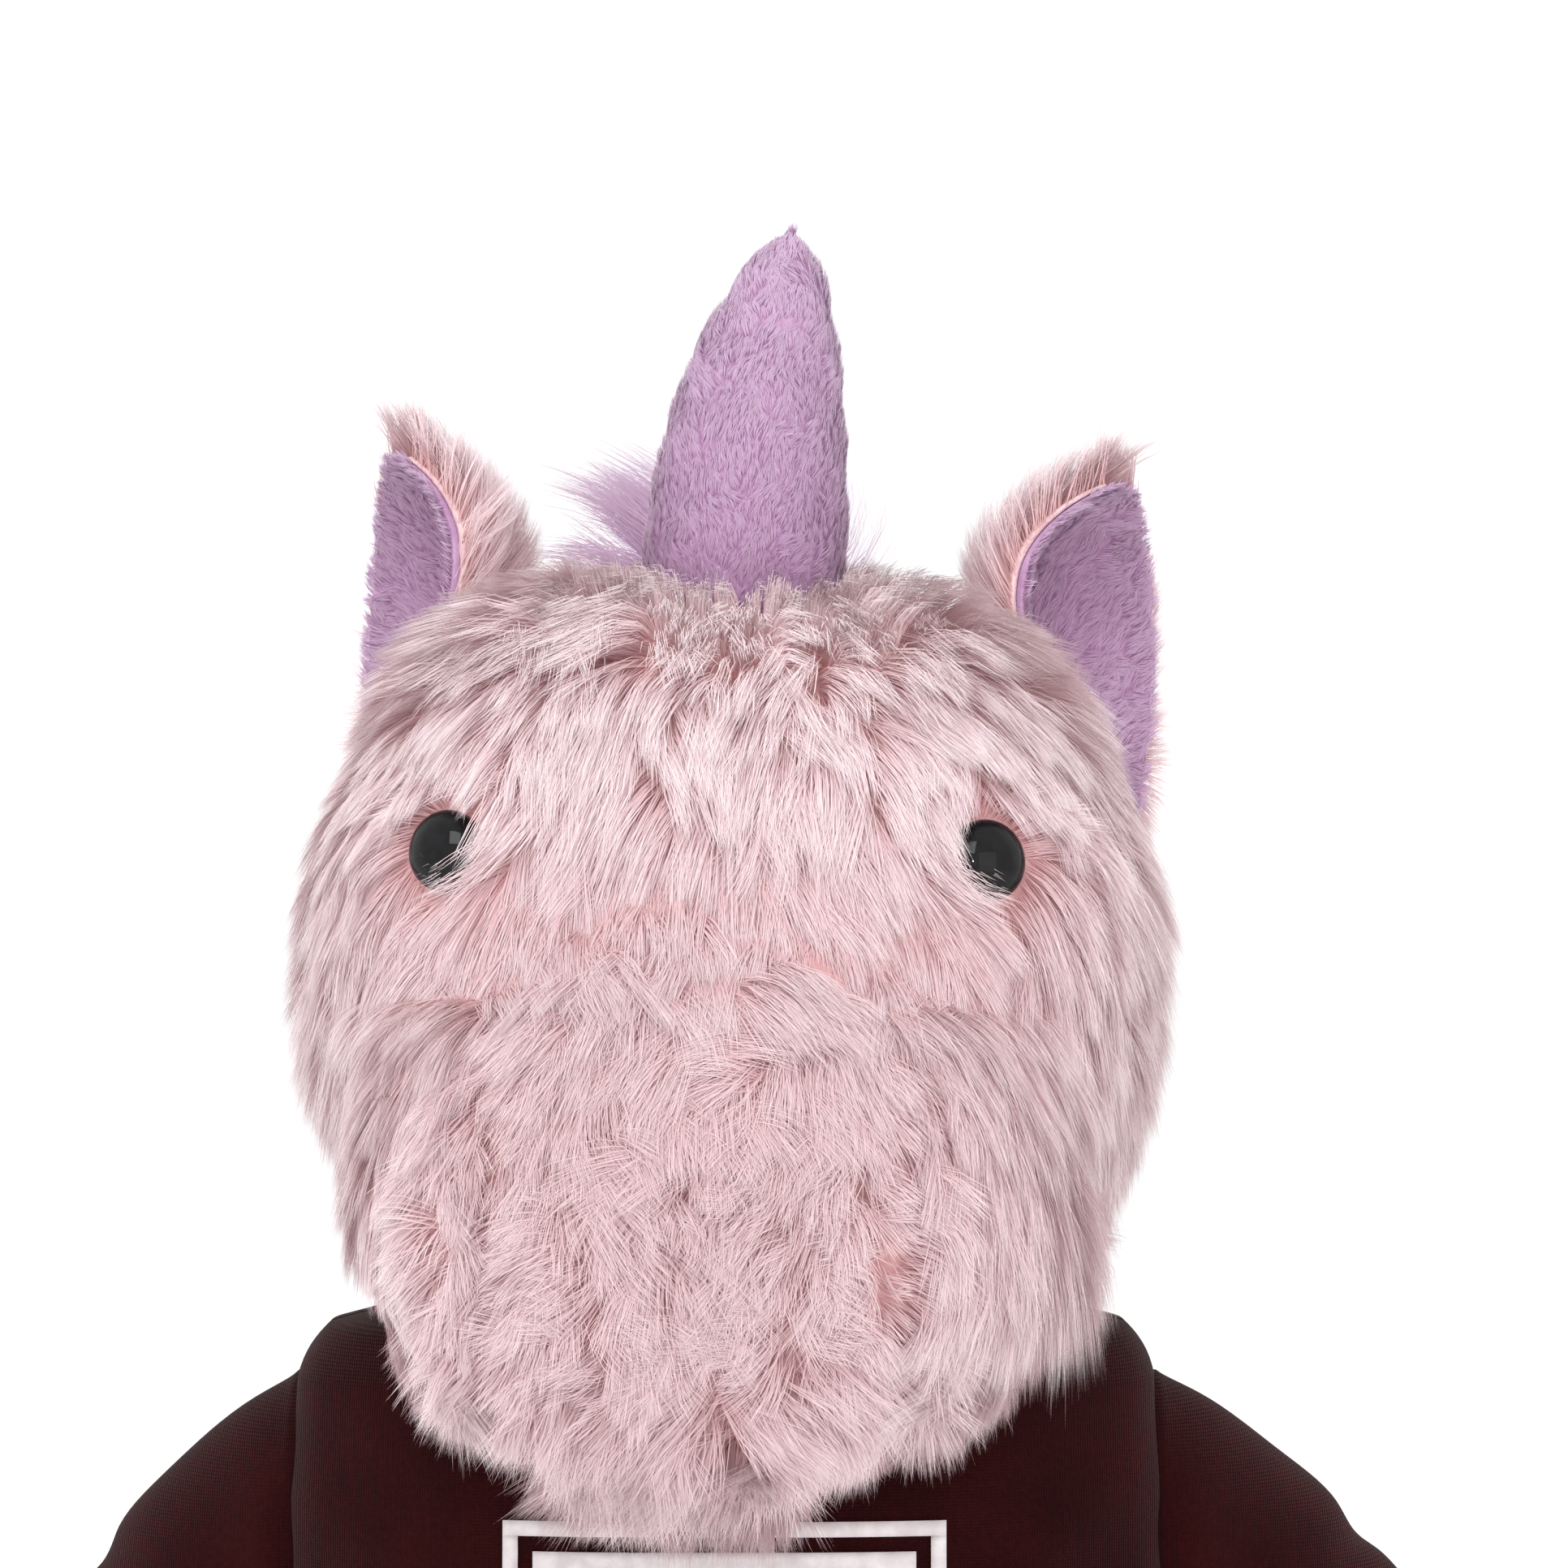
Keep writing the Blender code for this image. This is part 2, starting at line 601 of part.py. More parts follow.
def build_shirt():
    """Jersey front and back, ribbed hem and collar, and a plain printed panel."""
    origin = Vector()
    inner_grow = SHIRT_EASE
    outer_grow = SHIRT_EASE + KNIT
    body_sections = ((HEM_TOP_Z + GAP, *TRUNK_SECTIONS[1][1:]),) + TRUNK_SECTIONS[2:]
    flats = [SIDE_PLANE] * len(body_sections)
    reach = 0.1
    both_sides = [(-reach, ARMHOLE_RADIUS), (reach, ARMHOLE_RADIUS)]
    hole = turned(Vector((0, 0, SHOULDER_Z)), Vector((1, 0, 0)), both_sides, 20)
    armholes = cutter("cutter_armholes", solid(hole), None, origin)
    for facing, word in ((-1, "front"), (1, "back")):
        outer = half_rows(body_sections, outer_grow, facing, flats)
        inner = half_rows(body_sections, inner_grow, facing, flats)
        panel = place("shirt_" + word, patch(outer, inner), MAROON, None, origin)
        cut(panel, armholes)
    hem = TRUNK_SECTIONS[:2]
    outer = full_rows(hem, outer_grow + RIB_EXTRA, [SIDE_PLANE - RIB_EXTRA] * 2)
    inner = full_rows(hem, inner_grow, [SIDE_PLANE] * 2)
    place("shirt_hem_rib", shell(outer, inner), MAROON, None, origin)
    levels = (TRUNK_SECTIONS[-1][0] + outer_grow + GAP, COLLAR_TOP_Z)
    up = Vector((0, 0, 1))
    foot = Vector((0, TORSO_CENTRE_Y, 0))
    outer = turned(foot, up, [(levels[0], COLLAR_RADIUS), (levels[1], COLLAR_RADIUS - 0.002)], 20)
    inner_radius = COLLAR_RADIUS - COLLAR_THICK
    inner = turned(foot, up, [(levels[0], inner_radius), (levels[1], inner_radius - 0.002)], 20)
    place("shirt_collar_rib", shell(outer, inner), MAROON, None, origin)
    build_print(outer_grow)


def build_print(outer_grow):
    low, high = PRINT_Z
    rows = []
    for grow in (outer_grow + 3 * GAP + PRINT_THICK, outer_grow + 3 * GAP):
        grid = []
        for i in range(6):
            section = section_at(low + (high - low) * i / 5)
            reach = (PRINT_HALF_WIDTH / (section[1] + grow)) ** (TORSO_POWER / 2)
            spread = math.asin(reach)
            angles = [-math.pi / 2 + spread * (j / 4 - 1) for j in range(9)]
            grid.append([torso_point(a, section, grow, SIDE_PLANE) for a in angles])
        rows.append(grid)
    place("shirt_print", patch(*rows), PRINT_WHITE, None, Vector())


# ---- neck ----

def build_neck(pivot, origin):
    """A short stuffed tube. Its top falls away to the rim, so that the head can nod on it."""
    up = Vector((0, 0, 1))
    rim = NECK_TOP_Z - NECK_RIM_DROP
    top = NECK_TOP_Z - 0.0012
    rings = turned(Vector(), up, [(NECK_BASE_Z, NECK_RADIUS), (rim, NECK_RADIUS), (top, NECK_TIP_RADIUS)], 18)
    place("neck", solid(rings), PINK_FUR, pivot, origin)


# ---- arms ----

def arm_along(side):
    lean = ARM_ANGLES[side]
    return Vector((side * math.sin(lean), 0, -math.cos(lean)))


def arm_tip(side, distance):
    return Vector((side * SLEEVE_PLANE, 0, SHOULDER_Z)) + arm_along(side) * distance


def arm_row(side, distance, radius, inset):
    """A section of an arm, which turns square to the arm and stays flat against the armhole's plane."""
    turn = smooth_step(distance, 0.0, ARM_TURN) * (math.pi / 2 - ARM_ANGLES[side])
    across = Vector((side * math.sin(turn), 0, math.cos(turn)))
    row = circle_row(arm_tip(side, distance), Vector((0, 1, 0)), across, radius, ARM_SEGMENTS)
    for point in row:
        point.x = side * max(side * point.x, SLEEVE_PLANE + inset)
    return row


def armhole_row(side, radius, plane):
    """A flat ring in the plane of the armhole."""
    centre = Vector((side * plane, 0, SHOULDER_Z))
    return circle_row(centre, Vector((0, 1, 0)), Vector((0, 0, 1)), radius, ARM_SEGMENTS)


def arm_radius(distance):
    return ARM_ROOT_RADIUS + (ARM_RADIUS - ARM_ROOT_RADIUS) * smooth_step(distance, 0.0, ARM_TURN)


def hoof_stations(start, end, count):
    """Distances and size factors that round a limb off towards its end."""
    angles = [math.pi / 2 * i / count for i in range(count)]
    return [(start + (end - start) * math.sin(a), math.cos(a) ** 0.7) for a in angles]


def build_arm(side, word):
    origin = Vector((side * ARM_PLANE, 0, SHOULDER_Z))
    pivot = joint_empty("pivot_arm_" + word, origin)

    def sleeve_part(depth, last):
        """Rows of a layer that starts inside the armhole, depth below the arm's own surface."""
        clear = KNIT + 2 * GAP
        rows = [armhole_row(side, ARM_ROOT_RADIUS - depth, x) for x in (ARM_PLANE, SLEEVE_PLANE + clear)]
        return rows + [arm_row(side, s, arm_radius(s) - depth, clear + depth) for s in SLEEVE_STATIONS + last]

    skin_end = (ARM_HOOF_START - GAP,)
    cover = shell(sleeve_part(0.0, skin_end), sleeve_part(FUR_CLOTH, skin_end))
    place("arm_skin_" + word, cover, PINK_FUR, pivot, origin)

    def hoof_part(depth, end):
        rounded = hoof_stations(ARM_HOOF_START, end, 4)
        return [arm_row(side, s, (ARM_RADIUS - depth) * size, KNIT) for s, size in rounded]

    outer = hoof_part(0.0, ARM_LENGTH)
    inner = hoof_part(MINKY, ARM_LENGTH - MINKY)
    poles = (arm_tip(side, ARM_LENGTH), arm_tip(side, ARM_LENGTH - MINKY))
    place("arm_hoof_" + word, shell(outer, inner, poles), LAVENDER, pivot, origin)

    depth = FUR_CLOTH + 2 * GAP
    core_end = ARM_LENGTH - 2 * MINKY
    filling = sleeve_part(depth, ()) + hoof_part(depth, core_end)
    place("arm_filling_" + word, solid(filling, None, arm_tip(side, core_end)), FILLING, pivot, origin)
    build_sleeve(side, word, pivot, origin)


def sleeve_ease(distance):
    """Slack of the sleeve over the arm: fullest at the armhole."""
    return 0.0010 + 0.0030 * (1 - smooth_step(distance, 0.0, 0.05))


def build_sleeve(side, word, pivot, origin):
    """A knitted sleeve with slack over the arm, and its ribbed cuff."""
    def rows(depth):
        layer = KNIT - depth
        rings = [armhole_row(side, ARM_ROOT_RADIUS + sleeve_ease(0.0) + layer, SLEEVE_PLANE)]
        for s in SLEEVE_STATIONS:
            rings.append(arm_row(side, s, arm_radius(s) + sleeve_ease(s) + layer, depth))
        return rings

    place("sleeve_" + word, shell(rows(0.0), rows(KNIT)), MAROON, pivot, origin)
    cuff = (SLEEVE_LENGTH + GAP, SLEEVE_LENGTH + CUFF_LENGTH)
    outer = [arm_row(side, s, ARM_RADIUS + 2 * GAP + KNIT, 0.0) for s in cuff]
    inner = [arm_row(side, s, ARM_RADIUS + 2 * GAP, KNIT) for s in cuff]
    place("cuff_" + word, shell(outer, inner), MAROON, pivot, origin)


# ---- legs ----

def leg_axis(side):
    return Vector((side * math.sin(LEG_SPLAY), -math.cos(LEG_SPLAY), 0))


def leg_centre(side):
    return Vector((side * (LEG_PLANE + LEG_RADIUS), HIP_Y, HIP_Z))


def leg_row(side, distance, radius, inset):
    """A section of a leg, flattened where it meets the body and where it rests on its base."""
    along = leg_axis(side)
    across = Vector((-along.y, along.x, 0))
    centre = leg_centre(side) + along * distance
    row = circle_row(centre, across, Vector((0, 0, 1)), radius - inset, LEG_SEGMENTS)
    for point in row:
        point.x = side * max(side * point.x, LEG_PLANE + inset)
        point.z = max(point.z, inset)
    return row


def leg_radius(distance):
    """Round at the hip, slimmer at the knee and full again at the foot."""
    if distance < 0:
        return math.sqrt(max(LEG_RADIUS ** 2 - distance ** 2, 0.0))
    bow = math.sin(math.pi * min(distance / (LEG_LENGTH - LEG_HOOF_LENGTH), 1.0))
    return LEG_RADIUS - (LEG_RADIUS - LEG_WAIST) * bow


def build_leg(side, word):
    origin = Vector((side * LEG_PLANE, HIP_Y, HIP_Z))
    pivot = joint_empty("pivot_leg_" + word, origin)
    knee_end = LEG_LENGTH - LEG_HOOF_LENGTH - GAP
    forward = (knee_end, 0.085, 0.055, 0.025, 0.0)
    backward = [-LEG_RADIUS * math.sin(math.pi / 2 * i / 4) for i in range(1, 4)]
    stations = list(forward) + backward

    def rows(inset, places):
        rings = []
        for s in places:
            distance = s * (1 - inset / LEG_RADIUS) if s < 0 else s
            rings.append(leg_row(side, distance, leg_radius(s), inset))
        return rings

    def pole(inset):
        return leg_centre(side) - leg_axis(side) * (LEG_RADIUS - inset)

    cover = shell(rows(0.0, stations), rows(FUR_CLOTH, stations), (pole(0.0), pole(FUR_CLOTH)))
    place("leg_skin_" + word, cover, PINK_FUR, pivot, origin)
    inset = FUR_CLOTH + 2 * GAP
    core = [LEG_LENGTH - GAP] + stations
    place("leg_filling_" + word, solid(rows(inset, core), None, pole(inset)), FILLING, pivot, origin)

    band = (LEG_LENGTH - LEG_HOOF_LENGTH, LEG_LENGTH - LEG_HOOF_LENGTH / 2, LEG_LENGTH)
    place("leg_hoof_" + word, shell(rows(0.0, band), rows(FUR_CLOTH, band)), LAVENDER, pivot, origin)
    edge = ((GAP, 0.0002), (SOLE_THICK * 0.6, 0.001), (SOLE_THICK, 0.004))
    sole = [leg_row(side, LEG_LENGTH + rise, LEG_RADIUS, inset) for rise, inset in edge]
    place("sole_" + word, solid(sole), LAVENDER, pivot, origin)


# ---- tail and label ----

def build_tail():
    """A plume of long pile that lies back behind the seat."""
    pivot = joint_empty("pivot_tail", TAIL_ROOT)
    rows = []
    for i in range(1, 9):
        part = i / 9
        swell = math.sin(math.pi * min(part + TAIL_FULLNESS, 1.0)) ** 0.7
        neck = TAIL_ROOT_RADIUS * (1 - part)
        radius = neck + (TAIL_BELLY - neck) * swell * math.sqrt(part)
        radius = max(radius * math.sqrt(min(1.0, 6 * (1 - part))), TAIL_TIP_RADIUS)
        radius *= TAIL_PINCH + (1 - TAIL_PINCH) * part ** 0.3
        rise = -TAIL_DROP * smooth_step(part, 0.0, 1.0)
        centre = TAIL_ROOT + Vector((0, TAIL_LENGTH * part - TAIL_ROOT_RADIUS, rise))
        rows.append(circle_row(centre, Vector((1, 0, 0)), TAIL_UPRIGHT, radius, 12))
    start = TAIL_ROOT + Vector((0, -TAIL_ROOT_RADIUS, 0))
    end = TAIL_ROOT + Vector((0, TAIL_LENGTH - TAIL_ROOT_RADIUS, -TAIL_DROP))
    place("tail", solid(rows, start, end), LAVENDER, pivot, TAIL_ROOT)


def build_label():
    bm = bmesh.new()
    shape = Matrix.Translation(LABEL_PLACE) @ Matrix.Diagonal((*LABEL_SIZE, 1.0))
    bmesh.ops.create_cube(bm, size=1.0, matrix=shape)
    place("care_label", bm, LABEL_CLOTH, None, Vector())


def build_head(nod, origin):
    panels = build_head_cover(nod, origin)
    filling = build_head_filling(nod, origin)
    for side, word in ((1, "left"), (-1, "right")):
        build_eye(side, word, nod, origin, panels[side], filling)
    build_horn(nod, origin)
    for side, word in ((1, "left"), (-1, "right")):
        build_ear(side, word, nod, origin)
    build_mane(nod, origin)


def main():
    clear_scene()
    build_body()
    build_shirt()
    turn_origin = Vector((0, 0, NECK_BASE_Z))
    turn = joint_empty("pivot_head_turn", turn_origin, rotation=(0.0, 0.0, HEAD_YAW))
    build_neck(turn, turn_origin)
    nod_origin = Vector((0, 0, NOD_AXIS_Z))
    nod = joint_empty("pivot_head_nod", nod_origin - turn_origin, turn, (0.0, HEAD_ROLL, 0.0))
    build_head(nod, nod_origin)
    for side, word in ((1, "left"), (-1, "right")):
        build_arm(side, word)
        build_leg(side, word)
    build_tail()
    build_label()


main()
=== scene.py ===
import math

import bmesh
import bpy
import numpy as np
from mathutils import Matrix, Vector
from mathutils.kdtree import KDTree


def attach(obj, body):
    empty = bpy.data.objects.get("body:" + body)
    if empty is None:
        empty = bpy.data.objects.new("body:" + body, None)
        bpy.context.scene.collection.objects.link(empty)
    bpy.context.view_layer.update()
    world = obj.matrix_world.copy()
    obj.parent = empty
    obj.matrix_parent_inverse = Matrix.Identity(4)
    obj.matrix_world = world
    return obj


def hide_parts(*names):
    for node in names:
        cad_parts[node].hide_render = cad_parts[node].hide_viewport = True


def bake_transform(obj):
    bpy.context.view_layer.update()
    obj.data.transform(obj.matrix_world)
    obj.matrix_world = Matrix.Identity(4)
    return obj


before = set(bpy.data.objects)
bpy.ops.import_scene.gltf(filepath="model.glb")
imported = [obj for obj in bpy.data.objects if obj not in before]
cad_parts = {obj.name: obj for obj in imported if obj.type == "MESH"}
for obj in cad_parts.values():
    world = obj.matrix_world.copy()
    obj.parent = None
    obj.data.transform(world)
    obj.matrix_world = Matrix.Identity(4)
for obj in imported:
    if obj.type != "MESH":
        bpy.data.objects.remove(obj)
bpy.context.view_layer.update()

RNG = np.random.default_rng(20)
UP = np.array((0.0, 0.0, 1.0))
SIDES = ((1, "left"), (-1, "right"))

# ---- the part's own shape, in metres ----
SKULL_CENTRE = np.array((0, -0.018, 0.226))
SKULL_HALF = np.array((0.074, 0.066, 0.073))
SKULL_HALF_BELOW = 0.048
SKULL_POWER = 2.7
MUZZLE_CENTRE = np.array((0, -0.086, 0.190))
MUZZLE_HALF = np.array((0.061, 0.041, 0.047))
MUZZLE_POWER = 2.1
HEAD_BLEND = 0.020
HEAD_MIDDLE = np.array((0, -0.045, 0.213))
GUSSET_HALF = 0.034
HEAD_YAW = math.radians(-2)
HEAD_ROLL = math.radians(1)
YAW_PIVOT = np.array((0, 0, 0.1653))
ROLL_PIVOT = np.array((0, 0, 0.1765))
EYE_RADIUS = 0.0075
EYE_HEIGHT = 0.0056
EYE_X = 0.0485
EYE_Z = 0.252
HORN_PLACE = (0.0034, -0.036)
HORN_RADIUS = 0.0205
HORN_TIP_Z = 0.370
HORN_LEAN = 0.0076
HORN_LIFT = 0.0044
EAR_LENGTHS = {1: 0.046, -1: 0.046}
EAR_HALF_WIDTH = 0.022
EAR_CUP = math.radians(72)
EAR_OPENINGS = {1: math.radians(40), -1: math.radians(30)}
EAR_LIFT = 0.0035
EAR_Y = -0.002
EAR_FEET = {1: 0.0625, -1: -0.0605}
EAR_LEANS = {1: math.radians(15), -1: math.radians(-9)}
TORSO_Y = 0.002
TORSO_POWER = 2.5
SIDE_PLANE = 0.0808
HIP_PLANE = 0.0397
TRUNK = ((0.0735, 0.078, 0.0510), (0.0855, 0.086, 0.0530), (0.105, 0.092, 0.0535), (0.130, 0.092, 0.052),
         (0.150, 0.086, 0.046), (0.158, 0.075, 0.041), (0.1620, 0.060, 0.036), (0.1640, 0.038, 0.031))
PELVIS = ((0.0005, 0.034, 0.038), (0.0023, 0.039, 0.043), (0.012, 0.045, 0.048), (0.030, 0.0455, 0.049),
          (0.0715, 0.046, 0.050))
SHIRT_GROW = 0.0024         # from the body's cloth to the outside of the shirt
JERSEY_THICKNESS = 0.0013
FILM_THICKNESS = 0.0005
HEM_TOP_Z = 0.0855
COLLAR_RADIUS = 0.0395
SHOULDER_Z = 0.124
SLEEVE_PLANE = 0.0835
ARM_ANGLES = {1: math.radians(47), -1: math.radians(39)}
ARM_LENGTH = 0.104
ARM_RADIUS = 0.0205
ARM_ROOT_RADIUS = 0.0212
ARM_TURN = 0.026
SLEEVE_LENGTH = 0.068
CUFF_LENGTH = 0.012
SLEEVE_TUCK = 0.0030
ARM_HOOF_START = 0.086
HIP_Y = -0.012
HIP_Z = 0.031
LEG_RADIUS = 0.031
LEG_WAIST = 0.0285
LEG_SPLAY = math.radians(10)
LEG_LENGTH = 0.138
LEG_HOOF_LENGTH = 0.028
LEG_PLANE = HIP_PLANE + 0.0006
LEG_INSET = 0.0006          # of a leg's cloth behind the outside of its pile
SOLE_CLEARANCE = 0.0012     # no pile grows lower than this
TAIL_ROOT = np.array((0, 0.066, 0.046))
TAIL_LENGTH = 0.075
TAIL_DROP = 0.027
TAIL_PILE_END = 0.138


# ---- small vector helpers ----

def unit(v):
    return v / np.maximum(np.linalg.norm(v, axis=-1, keepdims=True), 1e-12)


def dot(a, b):
    return (a * b).sum(-1, keepdims=True)


def step(value, low, high):
    part = np.clip((np.asarray(value, float) - low) / (high - low), 0.0, 1.0)
    return part * part * (3 - 2 * part)


def around(count):
    """Equal angles of one whole turn."""
    return np.linspace(0, 2 * math.pi, count, endpoint=False)


def bump(value, centre, width):
    return np.exp(-((np.asarray(value) - centre) / width) ** 2)


# ---- head surface ----

def rounded(p, centre, half, power):
    total = (np.abs((p - centre) / half) ** power).sum(-1)
    return (total ** (1 / power) - 1) * half.min(-1)


def head_parts(p):
    half = np.repeat(SKULL_HALF[None], len(p), 0)
    half[p[:, 2] < SKULL_CENTRE[2], 2] = SKULL_HALF_BELOW
    skull = rounded(p, SKULL_CENTRE, half, SKULL_POWER)
    muzzle = rounded(p, MUZZLE_CENTRE, MUZZLE_HALF, MUZZLE_POWER)
    mix = np.clip(0.5 + 0.5 * (muzzle - skull) / HEAD_BLEND, 0.0, 1.0)
    return muzzle + (skull - muzzle) * mix - HEAD_BLEND * mix * (1 - mix), mix


def head_distance(p):
    return head_parts(p)[0]


def head_normal(p, reach=0.0005):
    slopes = []
    for axis in np.eye(3) * reach:
        slopes.append(head_distance(p + axis) - head_distance(p - axis))
    return unit(np.stack(slopes, -1))


def head_hit(start, direction, reach=0.16):
    """Points of the head's surface along rays that start inside it."""
    low = np.zeros(len(direction))
    high = np.full(len(direction), reach)
    for _ in range(34):
        middle = (low + high) / 2
        inside = head_distance(start + direction * middle[:, None]) < 0
        low = np.where(inside, middle, low)
        high = np.where(inside, high, middle)
    return start + direction * low[:, None]


def crown(x, y):
    start = np.array((x, y, 0.23))[None]
    return head_hit(start, UP[None])[0]


def head_turn(p):
    """The head's own tilt and turn, about its two joints."""
    p = np.asarray(p, float) - ROLL_PIVOT
    c, s = math.cos(HEAD_ROLL), math.sin(HEAD_ROLL)
    p = np.stack((p[..., 0] * c + p[..., 2] * s, p[..., 1], p[..., 2] * c - p[..., 0] * s), -1)
    p = p + ROLL_PIVOT - YAW_PIVOT
    c, s = math.cos(HEAD_YAW), math.sin(HEAD_YAW)
    p = np.stack((p[..., 0] * c - p[..., 1] * s, p[..., 0] * s + p[..., 1] * c, p[..., 2]), -1)
    return p + YAW_PIVOT


# ---- meshes ----

def build(name, verts, faces, look, smooth=True):
    mesh = bpy.data.meshes.new(name)
    mesh.from_pydata([tuple(v) for v in verts], [], [tuple(int(i) for i in f) for f in faces])
    mesh.update()
    if smooth:
        mesh.polygons.foreach_set("use_smooth", np.ones(len(mesh.polygons), bool))
    obj = bpy.data.objects.new(name, mesh)
    bpy.context.scene.collection.objects.link(obj)
    obj.data.materials.append(look)
    return obj


def thicken(obj, name, thickness, offset=-1.0):
    thick = obj.modifiers.new(name, "SOLIDIFY")
    thick.thickness = thickness
    thick.offset = offset


def loft(rows, start=None, end=None, wrap=True):
    """Vertices and faces of a skin over rows of points, closed by a pole at either end."""
    rows = np.asarray(rows, float)
    count, width = rows.shape[:2]
    verts = list(rows.reshape(-1, 3))
    faces = []
    for i in range(count - 1):
        for j in range(width if wrap else width - 1):
            k = (j + 1) % width
            faces.append((i * width + j, i * width + k, (i + 1) * width + k, (i + 1) * width + j))
    for pole, row, flip in ((start, 0, True), (end, count - 1, False)):
        if pole is None:
            continue
        verts.append(np.asarray(pole, float))
        tip = len(verts) - 1
        for j in range(width):
            k = (j + 1) % width
            a, b = row * width + j, row * width + k
            faces.append((tip, b, a) if flip else (a, b, tip))
    return np.array(verts), faces


def triangles(faces):
    tris = []
    for face in faces:
        for i in range(1, len(face) - 1):
            tris.append((face[0], face[i], face[i + 1]))
    return np.array(tris)


def skin_of(verts, faces, outward_from=None):
    """Vertices, triangles and unit normals for sampling, with normals that point away from a middle."""
    verts, tris = np.asarray(verts), triangles(faces)
    a, b, c = (verts[tris[:, i]] for i in range(3))
    face = np.cross(b - a, c - a)
    normals = np.zeros_like(verts)
    for i in range(3):
        np.add.at(normals, tris[:, i], face)
    normals = unit(normals)
    if outward_from is not None:
        flip = dot(normals, verts - outward_from).sum() < 0
        normals = -normals if flip else normals
    return verts, tris, normals


def sample(skin, count):
    verts, tris, normals = skin
    a, b, c = (verts[tris[:, i]] for i in range(3))
    area = np.linalg.norm(np.cross(b - a, c - a), axis=1)
    pick = RNG.choice(len(tris), count, p=area / area.sum())
    r1 = np.sqrt(RNG.random(count))[:, None]
    r2 = RNG.random(count)[:, None]
    weights = (1 - r1, r1 * (1 - r2), r1 * r2)
    at = sum(verts[tris[pick, i]] * weights[i] for i in range(3))
    facing = sum(normals[tris[pick, i]] * weights[i] for i in range(3))
    return at, unit(facing)


# ---- strands ----
FLOOR_CLEARANCE = 0.0003    # pile under the toy lies flat on what it sits on
STRAND_PIECE = 26000        # strands in one piece, so that it stays a handy mesh
SHORTEST_SHARE, LONGEST_SHARE = 0.6, 1.5      # of a strand's length about the pile's own
LIFT_SPREADS = (0.15, 0.10, 0.08)               # of tufts, wisps and strands, in radians
PLUSH_TURNS = (0.35, 0.25, 0.15)                # short pile turns more freely than long pile
PLUSH_EVENNESS = 0.85                           # share of the skin's normal in a strand's shading


def nearest(points, targets):
    tree = KDTree(len(targets))
    for i, t in enumerate(targets):
        tree.insert(t, i)
    tree.balance()
    return np.array([tree.find(p)[1] for p in points])


def ribbons(name, body, paths, normals, width, tint, look, evenness):
    """Tapered ribbons along paths. Across its own UV map, u is the strand's tint and v runs root to tip."""
    count, points = paths.shape[:2]
    paths[..., 2] = np.maximum(paths[..., 2], FLOOR_CLEARANCE)
    along = unit(np.gradient(paths, axis=1))
    outward = unit(normals * np.array((1.0, 1.0, 0.0)) + 1e-4)
    stand = np.abs(dot(along.mean(1), normals)) ** 0.7
    facing = unit(normals * (1 - stand) + outward * stand)
    side = unit(np.cross(along, facing[:, None]))
    over = np.cross(side, along)
    turn = RNG.uniform(-0.35, 0.35, count)[:, None, None]
    side = side * np.cos(turn) + over * np.sin(turn)
    own = 1.2 - evenness + 0.6 * stand[:, None]
    shade = unit(normals[:, None] * evenness + np.cross(side, along) * own)
    shade = np.concatenate((np.repeat(shade[:, :-1], 2, axis=1), shade[:, -1:]), 1)
    s = np.linspace(0, 1, points)
    profile = (1 - s ** 2.2) * (0.75 + 0.25 * np.sin(math.pi * s))
    half = 0.5 * width[:, None, None] * profile[None, :, None]
    rows = np.stack((paths - side * half, paths + side * half), 2)[:, :-1]
    per = 2 * (points - 1) + 1
    verts = np.concatenate((rows.reshape(count, -1, 3), paths[:, -1:]), 1)
    one = []
    for i in range(points - 2):
        one += [(2 * i, 2 * i + 1, 2 * i + 3), (2 * i, 2 * i + 3, 2 * i + 2)]
    one.append((2 * points - 4, 2 * points - 3, 2 * points - 2))
    one = np.array(one)
    v_at = np.concatenate((np.repeat(s[:-1], 2), s[-1:]))
    made = []
    pieces = max(1, math.ceil(count / STRAND_PIECE))
    for k, group in enumerate(np.array_split(np.arange(count), pieces)):
        tris = (one[None] + (np.arange(len(group)) * per)[:, None, None]).reshape(-1, 3)
        mesh = bpy.data.meshes.new(f"{name}_{k + 1}")
        mesh.vertices.add(len(group) * per)
        mesh.vertices.foreach_set("co", verts[group].reshape(-1))
        mesh.loops.add(tris.size)
        mesh.loops.foreach_set("vertex_index", tris.reshape(-1))
        mesh.polygons.add(len(tris))
        mesh.polygons.foreach_set("loop_start", np.arange(0, tris.size, 3))
        mesh.polygons.foreach_set("use_smooth", np.ones(len(tris), bool))
        uv = mesh.uv_layers.new(name="OFBake")
        u = np.repeat(tint[group], per)
        v = np.tile(v_at, len(group))
        loops = tris.reshape(-1)
        uv.data.foreach_set("uv", np.stack((u[loops], 0.01 + 0.98 * v[loops]), -1).reshape(-1))
        mesh.update(calc_edges=True)
        mesh.normals_split_custom_set_from_vertices(shade[group].reshape(-1, 3))
        obj = bpy.data.objects.new(f"{name}_{k + 1}", mesh)
        bpy.context.scene.collection.objects.link(obj)
        obj.data.materials.append(look)
        if body is not None:
            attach(obj, body)
        made.append(obj)
    return made


